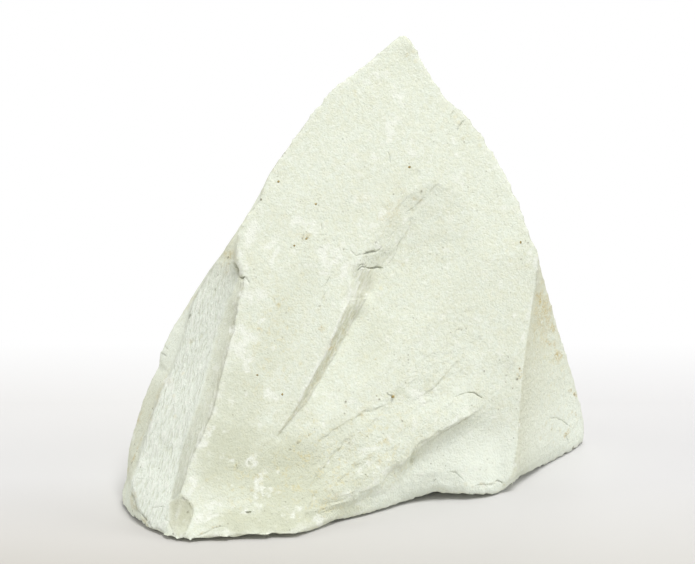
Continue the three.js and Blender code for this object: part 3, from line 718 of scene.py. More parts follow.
def drawn_across(points, rows, width, share):
    """Points near a straight crease moved across the view, onto a crooked line."""
    line = np.array(rows, float)
    gap, _, along = polyline(line[:, :2], to_pixels(points))
    steps = np.linalg.norm(np.diff(line[:, :2], axis=0), axis=1)
    stations = np.concatenate([[0.0], np.cumsum(steps)]) / steps.sum()
    depth = (points - np.array(EYE)) @ np.array(VIEW_AXIS)
    pull = bell(gap, width) * share * depth / FOCAL_PIXELS
    out = points.copy()
    out[:, 0] += np.interp(along, stations, line[:, 2]) * pull
    return out - (np.interp(along, stations, line[:, 3]) * pull)[:, None] * np.array(VIEW_UP)


def front_side(points, normals):
    return (normals @ TO_EYE) > -0.12


def front_share(normals):
    """1 on what the camera sees, and less where it turns away."""
    return smooth(0.02, 0.22, normals @ TO_EYE)


def near_lines(lines, speck_margin, speck_share, boxes=()):
    """A test for points of the front near a line or a speck, or in a box."""
    def picks(points, normals):
        pix = to_pixels(points)
        x, y = pix.T
        close = np.zeros(len(points), bool)
        for line, reach in lines:
            close |= polyline(line, pix)[0] < reach
        for speck_x, speck_y, radius in SPECKS:
            close |= np.hypot(x - speck_x, y - speck_y) < speck_margin + speck_share * radius
        for middle_x, middle_y, wide, high in boxes:
            close |= (np.abs(x - middle_x) < wide) & (np.abs(y - middle_y) < high)
        return close & ((normals @ TO_EYE) > 0.0)
    return picks


stone_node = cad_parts["stone_lump"]
cad_points = [v.co.copy() for v in stone_node.data.vertices]
cad_tree = BVHTree.FromPolygons(cad_points, [tuple(f.vertices) for f in stone_node.data.polygons])
mesh = voxel_copy(stone_node)
write_points(mesh, nearest_on(cad_tree, read_points(mesh), 0.9))

# How convex the lump is, measured once on the even mesh
even = read_points(mesh)
bulge = np.einsum("ij,ij->i", even - average(even, read_edges(mesh), 7), read_normals(mesh)) / MM
bulge_tree = tree_of(even)

refine(mesh, front_side)
write_points(mesh, nearest_on(cad_tree, read_points(mesh)))
write_points(mesh, drawn_to_creases(crease_places(stone_node), read_points(mesh)))

# The scar's ridge dies out at its upper end, short of the crest, and at its lower one
coarse_points = read_points(mesh)
coarse_pix = to_pixels(coarse_points)
fading = np.zeros(len(coarse_points))
for x, y, inner, outer in RIDGE_ENDS:
    end_gap = np.hypot(coarse_pix[:, 0] - x, coarse_pix[:, 1] - y)
    fading = np.maximum(fading, 1 - smooth(inner, outer, end_gap))
fading *= smooth(*CREST_CLEAR, polyline(CREST, coarse_pix)[0]) * ((read_normals(mesh) @ TO_EYE) > 0)
write_points(mesh, eased_where(coarse_points, read_edges(mesh), fading, RIDGE_ROUNDS))
refine(mesh, near_lines(FINE_LINES, 2.8, 0, [FAN_BOX]))
refine(mesh, near_lines(FINEST_LINES, 0.7, 1))

points = read_points(mesh)
edges = read_edges(mesh)

# The pockets are closed here, because the grains' crusts fill them
grain_nodes = sorted(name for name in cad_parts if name.startswith("rust_grain"))
grain_gap = np.full(len(points), 1.0)
for name in grain_nodes:
    low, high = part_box(name)
    centre = (np.array(low) + np.array(high)) / 2
    d = np.linalg.norm(points - centre, axis=1)
    ring = (d > POCKET_REACH) & (d < 2 * POCKET_REACH)
    middle = points[ring].mean(axis=0)
    out = np.linalg.svd(points[ring] - middle)[2][2]
    near = d < POCKET_REACH
    points[near] -= ((points[near] - middle) @ out)[:, None] * out
    grain_gap = np.minimum(grain_gap, d)
points = average(points, edges, 1, 0.35)
write_points(mesh, points)

convex = np.empty(len(points))
for k, place in enumerate(points):
    found = bulge_tree.find_n(place, 3)
    share = [1 / (f[2] + 0.1 * MM) for f in found]
    convex[k] = sum(s * bulge[f[1]] for s, f in zip(share, found)) / sum(share)

facing = front_share(read_normals(mesh))
points = drawn_across(points, RIDGE, 9.0, facing)
points = drawn_across(points, CREST_FOOT, 7.0, facing)
write_points(mesh, points)

normals = read_normals(mesh)
p = points / MM
up = p[:, 2]
pix = to_pixels(points)
px, py = pix.T
to_eye = normals @ TO_EYE
facing = front_share(normals)
away = smooth(0.25, 0.8, normals[:, 1]) * (1 - facing)
edge_wear = smooth(0.05, 0.22, convex)
face_plane = smooth(0.90, 0.975, normals @ FACE_OUT)
rough = facing * blobs(ROUGH, pix)


def below(first, last):
    """0 above one row of pixels, and 1 below another."""
    return smooth(first, last, py)


def above(first, last):
    """1 above one row of pixels, and 0 below another."""
    return smooth(last, first, py)


# Relief of the front's features, in mm; how far it reaches and where the tip is, in pixels
STEP_SHARE = 0.8
CRACK_SHARE = 0.45
FAN_SINK = 0.28
FIBRE_RELIEF = 0.09
WALL_TOOTH = 0.05
GROOVE_DEPTH = 0.22
LIP_HEIGHT = 0.1
COVE_DEPTH, COVE_REACH = 0.3, 8
COVE_SPREAD, SPREAD_REACH = 0.12, 18
TIP_X, TIP_Y, TIP_REACH = 411, 43, 9
TIP_WEAR = 0.35

# Broken surface: broad swells, small facets and a fine tooth
swell = 0.14 * fbm(p, 19.0, 2, 3) + 0.035 * fbm(p, 6.0, 2, 11)
tooth = 0.014 * fbm(p, 1.7, 2, 23)
warp = noises(p, 9.0, (31, 37, 41))
d1, own1 = cells(p + 2.4 * warp, 4.6, 51)
d2, own2 = cells(p + 1.2 * warp, 2.1, 61)
facets = 0.16 * own1 * smooth(0.75, 0.35, d1) + 0.07 * own2 * smooth(0.7, 0.3, d2)
breaks = 0.85 * flat_breaks(p + 2.2 * warp, 10.0, 301) + 0.32 * flat_breaks(p + 1.4 * warp, 4.4, 311)
far_inland = away * (1 - smooth(0.03, 0.15, convex))


def ripples(origin, wavelength, height, seed):
    """Round ripples of a break, centred on the place where it began, all in mm."""
    gap = np.linalg.norm(p - np.array(origin), axis=1)
    phase = gap / wavelength * 2 * math.pi + 2.2 * noise(p, 11.0, seed) + 0.9 * noise(p, 4.0, seed + 1)
    wave = np.sin(phase)
    area = smooth(-0.2, 0.5, noise(p, 19.0, seed + 2))
    return height * area * (0.5 * wave + 0.5 * np.abs(wave) ** 0.6 * np.sign(wave))


back_ripples = ripples((40, 40, 95), 5.2, 0.26, 71) + ripples((-40, 30, 5), 6.6, 0.20, 81)
shift = (1.0 + far_inland) * swell + (1.0 + 1.6 * rough + 1.5 * far_inland) * tooth
shift += (0.12 * (1 - face_plane) + 0.5 * far_inland) * facets + far_inland * (breaks + back_ripples)
shift += rough * 0.05 * fbm(p, 2.6, 2, 91)

# Steps and cracks of the front, on lines that stray a little, with painted shade at the steps' feet and in
# the cracks
stray = 1.5 * noises(p, 2.6, (101, 103)) + 0.9 * noises(p, 1.1, (107, 109))
foot_shade = np.zeros(len(p))
foot_broken = 0.25 + 0.75 * smooth(-0.3, 0.5, noise(p, 1.3, 115))
uneven = 0.55 + 0.45 * smooth(-0.5, 0.5, noise(p, 2.2, 113))
for drop, width, reach, dark, line in STEPS:
    d, side, along = polyline(line, pix + stray)
    low = np.where(side > 0, d, 0.0)
    high = np.where(side <= 0, d, 0.0)
    ends = smooth(0.0, 0.18, along) * smooth(1.0, 0.80, along)
    profile = -smooth(0.0, width, low) * np.exp(-low / reach) * (side > 0)
    lip = 0.16 * bell(high, 3.5) * (side <= 0)
    shift += facing * ends * uneven * STEP_SHARE * drop * (profile + lip * smooth(0, 1.0, high))
    foot = bell(low - 0.6 * width, width) * (side > 0)
    foot_shade = np.maximum(foot_shade, facing * ends * uneven * dark * foot * foot_broken)

crack_dark = np.zeros(len(p))
crack_wander = noise(p, 0.9, 127)
for depth, half, dark, line in CRACKS:
    d, side, along = polyline(line, pix + 0.35 * stray)
    ends = smooth(-0.05, 0.22, along) * smooth(1.05, 0.78, along)
    thin = half * 0.85 * (0.4 + 0.6 * ends) * (1 + 0.3 * crack_wander)
    cut = bell(d, thin) * (0.3 + 0.7 * ends)
    shift -= facing * CRACK_SHARE * depth * cut
    crack_dark = np.maximum(crack_dark, facing * cut * dark * (0.85 + 0.15 * crack_wander))


def patch(outline, soft, straying=0.6):
    """1 on the front inside an outline that strays a little, and 0 elsewhere."""
    return facing * within(outline, pix + straying * stray, soft)


def clear_of_edges(low, high):
    """0 on the slab's edge and the crest, and 1 away from them, by distances in pixels."""
    return smooth(low, high, polyline(SLAB_EDGE, pix)[0]) * smooth(low, high, polyline(CREST[1:], pix)[0])


# The patches with outlines, the crest and the slab's edge
bent = pix + 0.6 * stray
scarp_wall = patch(SCARP_WALL, 2.0, 0.3)
scarp_fan = patch(SCARP_FAN, 8.0)
slab_wall = patch(SLAB_WALL, 2.5, 0.35)
toe_chip = patch(TOE_CHIP, 2.0)
left_facets = patch(LEFT_FACETS, 4.0)
right_face = patch(RIGHT_FACE, 2.0)
# The notch and the top of the band below it take painted shade under the slab's overhanging edge
notch = patch(NOTCH, 8.0)
notch_fade = patch(BAND, 6.0) * above(262, 310)
scar_floor = patch(SCAR_FLOOR, 7.0) * below(398, 448)
band = patch(BAND, 4.0)
crest_gap = polyline(CREST, bent)[0]
off_crest = smooth(*CREST_CLEAR, crest_gap)
right_strip = right_face * np.exp(-crest_gap / 20)
# Painted light: the right face is made paler towards its base
base_of_right = right_face * smooth(375, 440, py + 0.45 * (px - 540))
edge_gap, edge_side, _ = polyline(SLAB_EDGE, pix + 0.25 * stray)
# A groove sunk along the slab's edge, given painted shade
groove = facing * bell(edge_gap, 1.5) * smooth(-0.8, 0.8, edge_side * edge_gap)
groove = groove * below(270, 286) * (0.65 + 0.35 * smooth(-0.4, 0.4, noise(p, 1.6, 161)))
wall_foot = below(385, 440)
slab_wall = slab_wall * (wall_foot + (1 - wall_foot) * np.exp(-edge_gap / 8.0))
notch_gap, notch_side, _ = polyline(NOTCH_EDGE, bent)
notch_shade = facing * bell(notch_gap, 5) * smooth(-1.5, 1.5, notch_side * notch_gap)
# Painted shade, with a tan tint, on the edges where the front turns away from view
rim_shadow = smooth(0.72, 0.40, to_eye) * smooth(-0.3, -0.1, to_eye) * smooth(0.04, 0.14, convex)
rim_shadow *= (1 - 0.8 * right_face) * (1 - 0.7 * left_facets)
rim_shadow = np.clip(1.5 * average(rim_shadow, edges, 1, 0.4), 0, 1) * clear_of_edges(3.0, 7.0)

# The fan sinks towards the scarp, with fibres that spread upwards
fan_low = smooth(258, 296, py + 0.5 * (352 - px))
shift -= scarp_fan * FAN_SINK * fan_low * above(290, 308)
spread = np.arctan2(px - 347, 345 - py)
fibre = noise(np.stack([spread * 14, py * 0.035, 0 * spread], -1), 1.0, 141)
shift += scarp_fan * FIBRE_RELIEF * fibre
# Painted shade with an olive tint on the sunken fan, darker low down and along its fibres
fan_olive = scarp_fan * np.clip(0.55 * fan_low + (0.4 + 0.9 * fan_low) * smooth(0.0, 0.40, fibre), 0, 1)
shift += scarp_wall * WALL_TOOTH * fbm(p, 1.6, 2, 143)
shift -= groove * GROOVE_DEPTH
wall_gap, wall_side, _ = polyline(SCARP_LIP, pix + 0.4 * stray)
# The scarp's lip: a raised, rubbed edge that also takes a painted highlight
scarp_lip = facing * below(270, 290) * above(395, 425)
scarp_lip = scarp_lip * bell(wall_gap, 1.6) * np.where(wall_side > 0, 1.0, 0.3)
shift += LIP_HEIGHT * scarp_lip

# The scar's ridge: a ragged lip, and a cove under it that fades to the right and down
ridge_line = [(x + dx, y + dy) for x, y, dx, dy in RIDGE]
ridge_gap, ridge_side, ridge_along = polyline(ridge_line, pix + 0.9 * stray)
under_lip = facing * smooth(0.16, 0.34, ridge_along) * smooth(1.0, 0.86, ridge_along) * off_crest
under_lip = under_lip * np.where(ridge_side < 0, smooth(0.0, 2.0, ridge_gap), 0.0)
shift -= under_lip * (COVE_DEPTH * bell(ridge_gap, COVE_REACH) + COVE_SPREAD * bell(ridge_gap, SPREAD_REACH))
cove_shade = under_lip * np.exp(-ridge_gap / 7.0)

# Chips knocked off the sharp edges
behind = smooth(0.45, 0.85, normals[:, 1])
chip = smooth(0.05, 0.55, fbm(p, 3.4, 2, 171)) + 0.5 * smooth(0.1, 0.6, fbm(p, 1.3, 2, 173))
shift -= edge_wear * chip * (0.03 + 0.12 * behind)

# The tip is blunt
shift += facing * TIP_WEAR * bell(np.hypot(px - TIP_X, py - TIP_Y), TIP_REACH)

# Nothing is raised over the grains
shift = np.where(shift > 0, shift * smooth(0.8, 2.4, grain_gap / MM), shift)
moved = points + normals * (shift * MM)[:, None]

# The sharp edges seen against the background are worn smooth
outline = smooth(0.80, 0.50, np.abs(to_eye)) * smooth(0.05, 0.14, convex) * above(425, 455)
outline = average(outline * clear_of_edges(2.0, 6.0), edges, 2)
moved = blend(moved, average(moved, edges, 7), outline)

# The lower edge is worn round where the break undercuts it: in mm up, and between columns
UNDERCUT_TOP = 4.5
UNDERCUT_LEFT, UNDERCUT_RIGHT = 398, 496
undercut = (up < UNDERCUT_TOP) & (px > UNDERCUT_LEFT) & (px < UNDERCUT_RIGHT) & (facing > 0.0)
moved = blend(moved, average(moved, edges, 14), np.where(undercut, smooth(UNDERCUT_TOP, 1.5, up), 0.0))

# The scar's ridge is soft on its low side
low_side = 0.75 * (1 - smooth(6, 20, ridge_gap)) * np.where(ridge_side < 0, smooth(0.5, 3.0, ridge_gap), 0.0)
moved = eased_where(moved, edges, facing * low_side * off_crest, 120)

# Underside: rough, with a rim that stands off the floor and follows the lower edge's line.
# The rim's heights are in mm, the row that the base line lies below and the steps in pixels.
RIM_TOP = 1.3
RIM_ZONE = 11.5
BASE_TOP = 400
COLUMN_STEP = 3.0
MOST_PIXELS = 6.0
under = smooth(0.45, 0.85, -normals[:, 2])
rim_places = np.flatnonzero((under < 0.3) & (up < RIM_TOP))
rim_tree = tree_of(points[rim_places])
rim_gap = np.full(len(p), 99.0)
rim_front = np.zeros(len(p))
for index in np.flatnonzero(up < RIM_ZONE):
    _, k, gap = rim_tree.find(points[index])
    rim_gap[index] = gap / MM
    rim_front[index] = facing[rim_places[k]]


def running_mean(values, half):
    """Each value averaged with that many on either side of it."""
    count = 2 * half + 1
    return np.convolve(np.pad(values, half, mode="edge"), np.ones(count) / count, mode="valid")


def upright(pixels, most):
    """Pixels up the view as millimetres of height, up to a number of pixels."""
    return np.clip(pixels, 0.0, most) / PIXELS_PER_MM / math.cos(CAMERA_DROP)


columns = np.arange(110.0, 606.0, COLUMN_STEP)
reach_down = np.full(len(columns), -1.0)
slots = np.clip(np.round((px[rim_places] - columns[0]) / COLUMN_STEP).astype(int), 0, len(columns) - 1)
np.maximum.at(reach_down, slots, py[rim_places])
seen = reach_down > BASE_TOP
cad_line = running_mean(np.interp(columns, columns[seen], reach_down[seen]), 2)
line_x, line_y = np.array(LOWER_EDGE).T
offset = np.interp(px, line_x, line_y) - np.interp(px, columns, cad_line)
offset = np.clip(offset, -MOST_PIXELS, MOST_PIXELS)
edge_step = running_mean(np.interp(columns, line_x, line_y) - cad_line, 6)
trend = np.interp(px, columns, np.clip(edge_step, -MOST_PIXELS, MOST_PIXELS))
rim_noise = fbm(p, 2.4, 2, 191)
needed = np.interp(px, *np.array(EDGE_GAP).T)
lift = needed * (1 + 0.35 * rim_noise)
lift = rim_front * lift + (1 - rim_front) * (0.22 + 0.2 * smooth(-0.3, 0.6, rim_noise))
up_trend = upright(-trend, MOST_PIXELS)
forward = np.clip(trend, 0.0, MOST_PIXELS) / PIXELS_PER_MM
forward += 0.7 * np.maximum(needed - up_trend, 0.0) * math.cos(CAMERA_DROP)
forward = np.clip(forward / math.sin(CAMERA_DROP), 0.0, 2.2) * rim_front
lift = np.maximum(lift, rim_front * up_trend)
sunk = np.minimum(0.7 * upright(offset - trend, 4.0), 0.8 * lift)
lift = lift + rim_front * (0.7 * upright(trend - offset, 4.0) - sunk)
beside_rim = 1 - smooth(0.0, 4.5, rim_gap)
hold = np.where(under > 0.5, beside_rim, smooth(6.5, 0.4, up))
lean = np.where(under > 0.5, beside_rim, np.clip(1 - (up - 0.4) / 11.0, 0, 1) ** 1.5)
moved[:, 2] += hold * lift * MM
moved[:, 1] -= lean * forward * MM
moved[:, 2] += under * MM * 0.30 * smooth(-0.1, 0.7, fbm(p, 7.0, 3, 181))
moved = blend(moved, average(moved, edges, 3), facing * smooth(1.8, 0.8, up) * (1 - under))
moved[:, 2] = np.maximum(moved[:, 2] - moved[:, 2].min(), 0.0)
write_points(mesh, moved)

# Masks for the material
speck = np.zeros(len(p))
speck_shape = 1 + 0.35 * noise(p, 0.3, 221)
for x, y, radius in SPECKS:
    centre = np.argmin(np.hypot(px - x, py - y) + 9.0 * (facing < 0.3))
    d = np.linalg.norm(p - p[centre], axis=1) * PIXELS_PER_MM * speck_shape
    speck = np.maximum(speck, (1 - smooth(radius * 0.25, radius * 1.25, d)) * min(1.0, 0.30 + 0.45 * radius))
break_up = 0.5 + 0.5 * fbm(p, 1.5, 3, 201)
powdery = blobs(SCUFFS, pix + 3.0 * stray) + 0.8 * (break_up - 0.5) + 0.45 * fbm(p, 0.9, 2, 205)
stain = facing * (1 + 1.4 * right_face) * blobs(STAINS, pix + 1.6 * stray)
wear = 0.40 * edge_wear * smooth(0.25, 0.75, break_up) * (1 - 0.8 * left_facets) * (1 - rim_shadow)
masks = {
    # Rubbed edges, and the scarp's lip, rubbed and with a painted highlight
    "wear": [wear * (1 - 0.5 * facing * above(200, 250)), 0.8 * scarp_lip],
    # Painted shade with an olive tint: the scarp's wall, the sunken fan, the wall beside the slab, the toe
    # chip, the far-left facets, the feet of steps, the groove, the notch, the top of the band and the cove
    # under the ridge; and a darker olive strip along the crest
    "olive_and_shade": [
        (0.36 + 0.25 * below(350, 400)) * scarp_wall, 0.55 * fan_olive,
        slab_wall * (0.40 + 0.45 * (1 - wall_foot)), 0.60 * toe_chip, 0.08 * left_facets,
        0.55 * left_facets * below(345, 400), 0.80 * right_strip, 0.9 * foot_shade, 0.95 * groove,
        0.50 * notch, 0.7 * notch_shade, 0.30 * notch_fade, 0.35 * cove_shade],
    "scuff": [facing * smooth(0.34, 0.86, powdery), away * 0.7 * smooth(0.30, 0.80, fbm(p, 3.4, 4, 231))],
    "stain": [stain * smooth(0.10, 0.70, 0.5 + 0.5 * fbm(p, 1.3, 3, 211))],
    # Painted shade on darker patches of the face, with some weathering
    "shade": [facing * blobs(SHADES, pix + 4.0 * stray)],
    "speck": [facing * speck],
    # Painted shade in the cracks, the groove and the fan's fibres
    "crack_shade": [crack_dark, 0.38 * groove, 0.12 * scarp_fan * fan_low * smooth(0.1, 0.5, fibre)],
    "band": [band, 0.8 * slab_wall],
    # Paler, cooler fresh breaks on the lower band and the scar's floor, paler tops of the far-left facets,
    # and painted light that lifts the scar's floor, the base of the right face and a low strip
    "fresh_and_painted_light": [
        scar_floor, band * below(230, 330), base_of_right, 0.7 * left_facets * above(370, 400),
        facing * blobs(LOW_STRIP, pix)],
    "coarse": [rough, 0.7 * away, 0.6 * right_face],
    "strand": [facing * blobs(STRANDS, pix), facing * scarp_wall],
    "dust": [facing * blobs(DUST, pix + 3.0 * stray), 0.4 * away],
    "back": [away],
    "wall": [facing * scarp_wall * below(300, 335)],
    # Painted shade with a tan tint along the edges that turn away
    "rim": [0.75 * facing * rim_shadow * (0.45 + 0.55 * smooth(430, 470, px)) * above(430, 470)],
}
for name, parts in masks.items():
    layer = mesh.attributes.new(name, "FLOAT", "POINT")
    layer.data.foreach_set("value", np.clip(np.maximum.reduce(parts), 0, 1).astype(np.float32))

shade_smooth(mesh)
mark_creases(mesh)
stone = placed("stone", mesh)


# ---- Materials ----
WHITE = (1.0, 1.0, 1.0, 1.0)
BAND_GRAIN = (-0.256, -0.455, -0.852)
STRAND_GRAIN = (0.45, 0.47, 0.93)
RIPPLE_GRAIN = (0.80, 0.40, 0.56)
MIX_FACTOR, MIX_FIRST, MIX_SECOND = 0, 6, 7
MIX_RESULT = 2


def linear(r, g, b):
    """A screen colour, 0 to 255, as the value that shows it."""
    def one(c):
        c = c / 255
        return c / 12.92 if c <= 0.04045 else ((c + 0.055) / 1.055) ** 2.4
    return (one(r), one(g), one(b), 1.0)


class Nodes:
    """Short calls for building a material or a world. A value can be a number, a colour, the
    output of another node or the name of a mask of the mesh."""

    def __init__(self, owner):
        owner.use_nodes = True
        self.owner = owner
        self.tree = owner.node_tree
        self.tree.nodes.clear()

    def node(self, kind, output, inputs=None, **settings):
        """A new node with its inputs fed, and the output that is wanted of it."""
        made = self.tree.nodes.new(kind)
        for key, value in settings.items():
            setattr(made, key, value)
        for key, value in (inputs or {}).items():
            if isinstance(value, str):
                value = self.node("ShaderNodeAttribute", "Fac", attribute_name=value)
            if isinstance(value, bpy.types.NodeSocket):
                self.tree.links.new(value, made.inputs[key])
            else:
                made.inputs[key].default_value = value
        return made.outputs[output] if output is not None else None

    @functools.cached_property
    def where(self):
        return self.node("ShaderNodeTexCoord", "Object")

    def noise(self, scale, detail, rough, distortion=0.0, where=None):
        inputs = {"Vector": where or self.where, "Scale": scale, "Detail": detail,
                  "Roughness": rough, "Distortion": distortion}
        return self.node("ShaderNodeTexNoise", "Fac", inputs)

    def dots(self, scale, low, high):
        """Round dots, from the distance where they end to the one where they are full."""
        gap = self.node("ShaderNodeTexVoronoi", "Distance", {"Vector": self.where, "Scale": scale})
        return self.ramp(gap, low, high)

    def stretched(self, direction, times):
        """A place whose steps along one direction count that many times less."""
        along = Vector(direction).normalized()
        side = along.orthogonal().normalized()
        dots = [self.node("ShaderNodeVectorMath", "Value", {0: self.where, 1: axis}, operation="DOT_PRODUCT")
                for axis in (along / times, side, along.cross(side))]
        return self.node("ShaderNodeCombineXYZ", "Vector", dict(enumerate(dots)))

    def ramp(self, value, low, high, out_low=0.0, out_high=1.0):
        inputs = {"Value": value, "From Min": low, "From Max": high, "To Min": out_low, "To Max": out_high}
        return self.node("ShaderNodeMapRange", "Result", inputs, clamp=True)

    def math(self, kind, first, *others):
        for other in others:
            first = self.node("ShaderNodeMath", "Value", {0: first, 1: other}, operation=kind)
        return first

    def times(self, *values):
        return self.math("MULTIPLY", *values)

    def plus(self, *values):
        return self.math("ADD", *values)

    def mix(self, factor, first, second):
        inputs = {MIX_FACTOR: factor, MIX_FIRST: first, MIX_SECOND: second}
        return self.node("ShaderNodeMix", MIX_RESULT, inputs, data_type="RGBA")

    def matte(self, colour, rough, specular, height, strength, depth):
        """Ends the material with a matte surface, and gives the material."""
        bump = {"Strength": strength, "Distance": depth, "Height": height}
        surface = {"Base Color": colour, "Roughness": rough, "Specular IOR Level": specular,
                   "Normal": self.node("ShaderNodeBump", "Normal", bump)}
        shader = self.node("ShaderNodeBsdfPrincipled", "BSDF", surface)
        self.node("ShaderNodeOutputMaterial", None, {"Surface": shader})
        return self.owner


# Tones of the stone. Some also paint light and shade: the olive and weathered tones paint shade, the dark
# tone paints shade in cracks, the rim's tan tone paints shade along edges, and the fresh tone paints light
TONES = {
    "deep": linear(212, 216, 195), "tan": linear(228, 226, 196), "cool": linear(230, 239, 228),
    "pale": linear(247, 249, 242), "fresh_and_painted_light": linear(240, 246, 235), "ochre": linear(216, 204, 150),
    "umber": linear(194, 174, 110), "olive_and_shade": linear(199, 199, 174), "weathered_and_shade": linear(204, 207, 183),
    "rust": linear(108, 98, 68), "dark": linear(88, 84, 64), "chalky": linear(240, 243, 232),
    "tan_rim_and_shade": linear(126, 118, 84),
}


def stone_material():
    n = Nodes(bpy.data.materials.new("pale_stone"))
    mottle = n.noise(1500, 3, 0.6, 0.5)
    speckle = n.noise(800, 4, 0.7, 0.4)
    powder = n.noise(1500, 4, 0.65, 0.3)
    fibres = n.noise(3000, 2, 0.5, where=n.stretched(BAND_GRAIN, 6.0))
    strands = n.noise(2000, 3, 0.6, where=n.stretched(STRAND_GRAIN, 6.0))
    ripple = n.noise(1000, 3, 0.6, where=n.stretched(RIPPLE_GRAIN, 5.0))
    grains = n.math("MAXIMUM", n.dots(2100, 0.42, 0.20), n.ramp(powder, 0.56, 0.42, 0.0, 0.5))
    grit = n.times(n.dots(330, 0.16, 0.10), n.ramp(n.noise(190, 1, 0.5), 0.56, 0.60))
    layers = [
        # Mottling, then the tones of whole areas, with painted light on fresh faces and painted shade on
        # darker patches
        ("deep", n.ramp(n.noise(60, 3, 0.6, 0.4), 0.42, 0.62, 0.0, 0.16)),
        ("tan", n.ramp(n.noise(650, 5, 0.65, 0.6), 0.40, 0.66, 0.0, 0.38)),
        ("deep", n.ramp(mottle, 0.42, 0.66, 0.0, 0.40)),
        ("pale", n.ramp(n.noise(2000, 3, 0.6, 0.3), 0.50, 0.70, 0.0, 0.40)),
        ("cool", "band", 0.45),
        ("fresh_and_painted_light", "fresh_and_painted_light", 0.60),
        ("weathered_and_shade", "shade", 0.80),
        # Fibres down the band
        ("weathered_and_shade", n.ramp(fibres, 0.48, 0.34, 0.0, 0.48), "band"),
        ("chalky", n.ramp(fibres, 0.49, 0.62, 0.0, 0.90), "band"),
        # Yellow flecks and fine dark specks scattered through the stone, rust grit on the far side
        ("ochre", n.dots(500, 0.34, 0.12), n.ramp(n.noise(120, 3, 0.6, 0.8), 0.58, 0.70), 0.30),
        ("rust", n.dots(900, 0.24, 0.08), n.ramp(n.noise(260, 1, 0.5), 0.60, 0.70), 0.40),
        ("rust", "back", 0.75, grit),
        # Ochre dust, and strands up the broken areas
        ("ochre", n.ramp(speckle, 0.53, 0.68, 0.0, 0.60), "dust"),
        ("olive_and_shade", n.ramp(strands, 0.52, 0.34, 0.0, 0.42), "strand"),
        ("pale", n.ramp(strands, 0.50, 0.66, 0.0, 0.85), "strand"),
        # Painted shade on walls and hollows, stains, rubbed edges with a painted highlight on the
        # scarp's lip, rubbed places, painted shade along the rim, specks, and painted shade in cracks
        ("olive_and_shade", "olive_and_shade", n.ramp(n.noise(1000, 3, 0.6, 0.5), 0.3, 0.7, 0.55, 1.0)),
        ("umber", "stain", n.plus(n.times(grains, 0.85), 0.15)),
        ("umber", "wall", n.ramp(speckle, 0.50, 0.66, 0.0, 0.30)),
        ("pale", "wear", 0.75),
        ("chalky", "scuff", n.ramp(powder, 0.34, 0.56, 0.30, 1.0)),
        ("tan_rim_and_shade", "rim", n.ramp(speckle, 0.36, 0.60, 0.25, 0.75)),
        ("rust", "speck", 0.75),
        ("dark", "crack_shade", 0.55),
    ]
    colour = linear(231, 237, 223)
    for tone, *factors in layers:
        colour = n.mix(n.times(*factors), colour, TONES[tone])

    # Grain: powdery tooth, pits, and fibres down the band
    pits = n.dots(1100, 0.05, 0.28)
    coarse = n.noise(900, 3, 0.55, 0.3)
    height = n.plus(n.times(n.noise(2500, 2, 0.6), 0.52), n.times(coarse, 0.50), n.times(pits, 0.12))
    height = n.times(height, n.plus(n.times("coarse", 0.40), 1.0))
    height = n.plus(height, n.times(ripple, 0.22), n.times(fibres, "band", 3.2),
                    n.times(strands, "strand", 2.0), n.times(ripple, "coarse", 1.2))
    return n.matte(colour, n.ramp(mottle, 0.3, 0.7, 0.86, 0.96), 0.18, height, 0.5, 0.64 * MM)


def rust_material():
    n = Nodes(bpy.data.materials.new("rust_grain"))
    fine = n.noise(4200, 3, 0.6)
    blotch = n.ramp(n.noise(1800, 4, 0.6, 0.5), 0.38, 0.62)
    colour = n.mix(blotch, linear(116, 102, 66), linear(184, 164, 108))
    colour = n.mix(n.ramp(fine, 0.50, 0.70, 0.0, 0.6), colour, linear(88, 78, 56))
    return n.matte(colour, n.ramp(fine, 0.3, 0.7, 0.70, 0.92), 0.25, n.noise(4000, 4, 0.6), 0.7, 0.06 * MM)


stone.data.materials.clear()
stone.data.materials.append(stone_material())
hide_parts("stone_lump")
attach(stone, "root")

# ---- Rust grains: crusty lumps in their pockets ----
rust = rust_material()
for number, name in enumerate(grain_nodes):
    grain_mesh = bpy.data.meshes.new(name + "_crust")
    with edited(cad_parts[name].data, grain_mesh) as work:
        bmesh.ops.remove_doubles(work, verts=work.verts, dist=0.002 * MM)
        bmesh.ops.subdivide_edges(work, edges=work.edges, cuts=4, use_grid_fill=True)
    co = average(read_points(grain_mesh), read_edges(grain_mesh), 4)
    write_points(grain_mesh, co)
    lumps = 0.06 * fbm(co / MM, 0.4, 3, 301 + number)
    write_points(grain_mesh, co + read_normals(grain_mesh) * (lumps * MM)[:, None])
    shade_smooth(grain_mesh)
    grain = placed("crust_" + name, grain_mesh)
    grain.data.materials.clear()
    grain.data.materials.append(rust)
    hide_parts(name)
    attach(grain, "root")

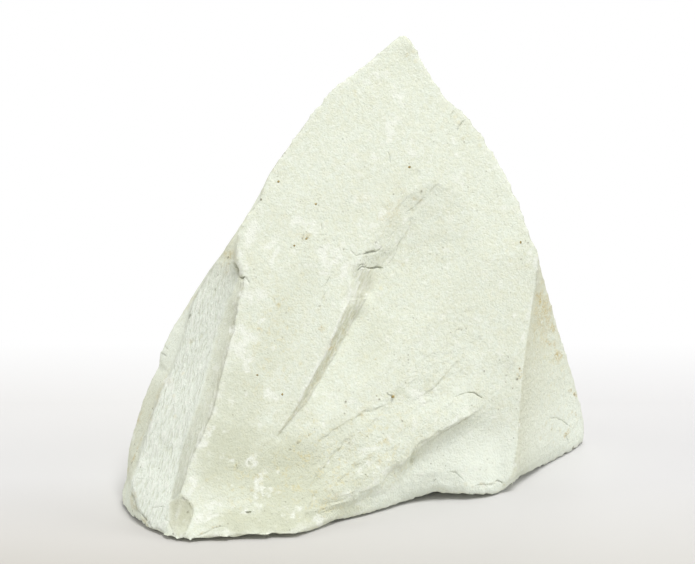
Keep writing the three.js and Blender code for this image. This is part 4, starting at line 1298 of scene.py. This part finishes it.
# ---- Floor, backdrop and light ----
SPAN = 4.0
BACKDROP = (44 * MM, 84 * MM)
floor_mesh = bpy.data.meshes.new("floor")
corners = [(-SPAN, -SPAN, 0), (SPAN, -SPAN, 0), (SPAN, SPAN, 0), (-SPAN, SPAN, 0)]
floor_mesh.from_pydata(corners, [], [(0, 1, 2, 3)])
floor = placed("floor", floor_mesh)
floor.location = (0, 0, -0.02 * MM)
n = Nodes(bpy.data.materials.new("floor"))
x, y = [n.node("ShaderNodeSeparateXYZ", axis, {"Vector": n.where}) for axis in "XY"]
right = n.ramp(x, -50 * MM, 50 * MM)
# Painted shadow: the floor is darker in front of the lump than behind it
tone = n.mix(right, linear(192, 189, 182), linear(198, 196, 191))
back_tone = n.mix(right, linear(217, 216, 215), linear(213, 212, 212))
tone = n.mix(n.ramp(y, -50 * MM, 0.0), tone, back_tone)
tone = n.mix(n.ramp(n.noise(9, 3, 0.5), 0.35, 0.7, 0.0, 0.15), tone, linear(210, 209, 207))
shaded = n.node("ShaderNodeBsdfDiffuse", "BSDF", {"Color": tone})
glow = n.node("ShaderNodeEmission", "Emission", {"Color": WHITE, "Strength": 1.0})
both = n.node("ShaderNodeMixShader", "Shader", {0: n.ramp(y, *BACKDROP), 1: shaded, 2: glow})
n.node("ShaderNodeOutputMaterial", None, {"Surface": both})
floor.data.materials.append(n.owner)

AMBIENT = 0.555
bpy.context.scene.world = bpy.data.worlds.new("studio")
n = Nodes(bpy.context.scene.world)
lit, white = [n.node("ShaderNodeBackground", "Background", {"Color": WHITE, "Strength": strength})
              for strength in (AMBIENT, 1.0)]
seen_ray = n.node("ShaderNodeLightPath", "Is Camera Ray")
both = n.node("ShaderNodeMixShader", "Shader", {0: seen_ray, 1: lit, 2: white})
n.node("ShaderNodeOutputWorld", None, {"Surface": both})

# Round lamps aimed at the lump: degrees from the front to the right, degrees up, power
LAMP_REACH = 1.5
LAMP_SIZE = 0.6
LAMP_AIM = Vector((0, 0, 40 * MM))
LAMPS = [("key", 30, 70, 13.5), ("left", -90, 30, 3.5), ("right", 90, 30, 4.8), ("back", 180, 45, 2.0)]
for name, azimuth, height, power in LAMPS:
    a = math.radians(azimuth)
    e = math.radians(height)
    out = Vector((math.sin(a) * math.cos(e), -math.cos(a) * math.cos(e), math.sin(e)))
    data = bpy.data.lights.new(name, "AREA")
    data.shape = "DISK"
    data.size = LAMP_SIZE
    data.energy = power
    lamp = placed(name, data)
    lamp.location = LAMP_AIM + out * LAMP_REACH
    lamp.rotation_euler = (-out).to_track_quat("-Z", "Y").to_euler()

bpy.context.scene.view_settings.view_transform = "Standard"
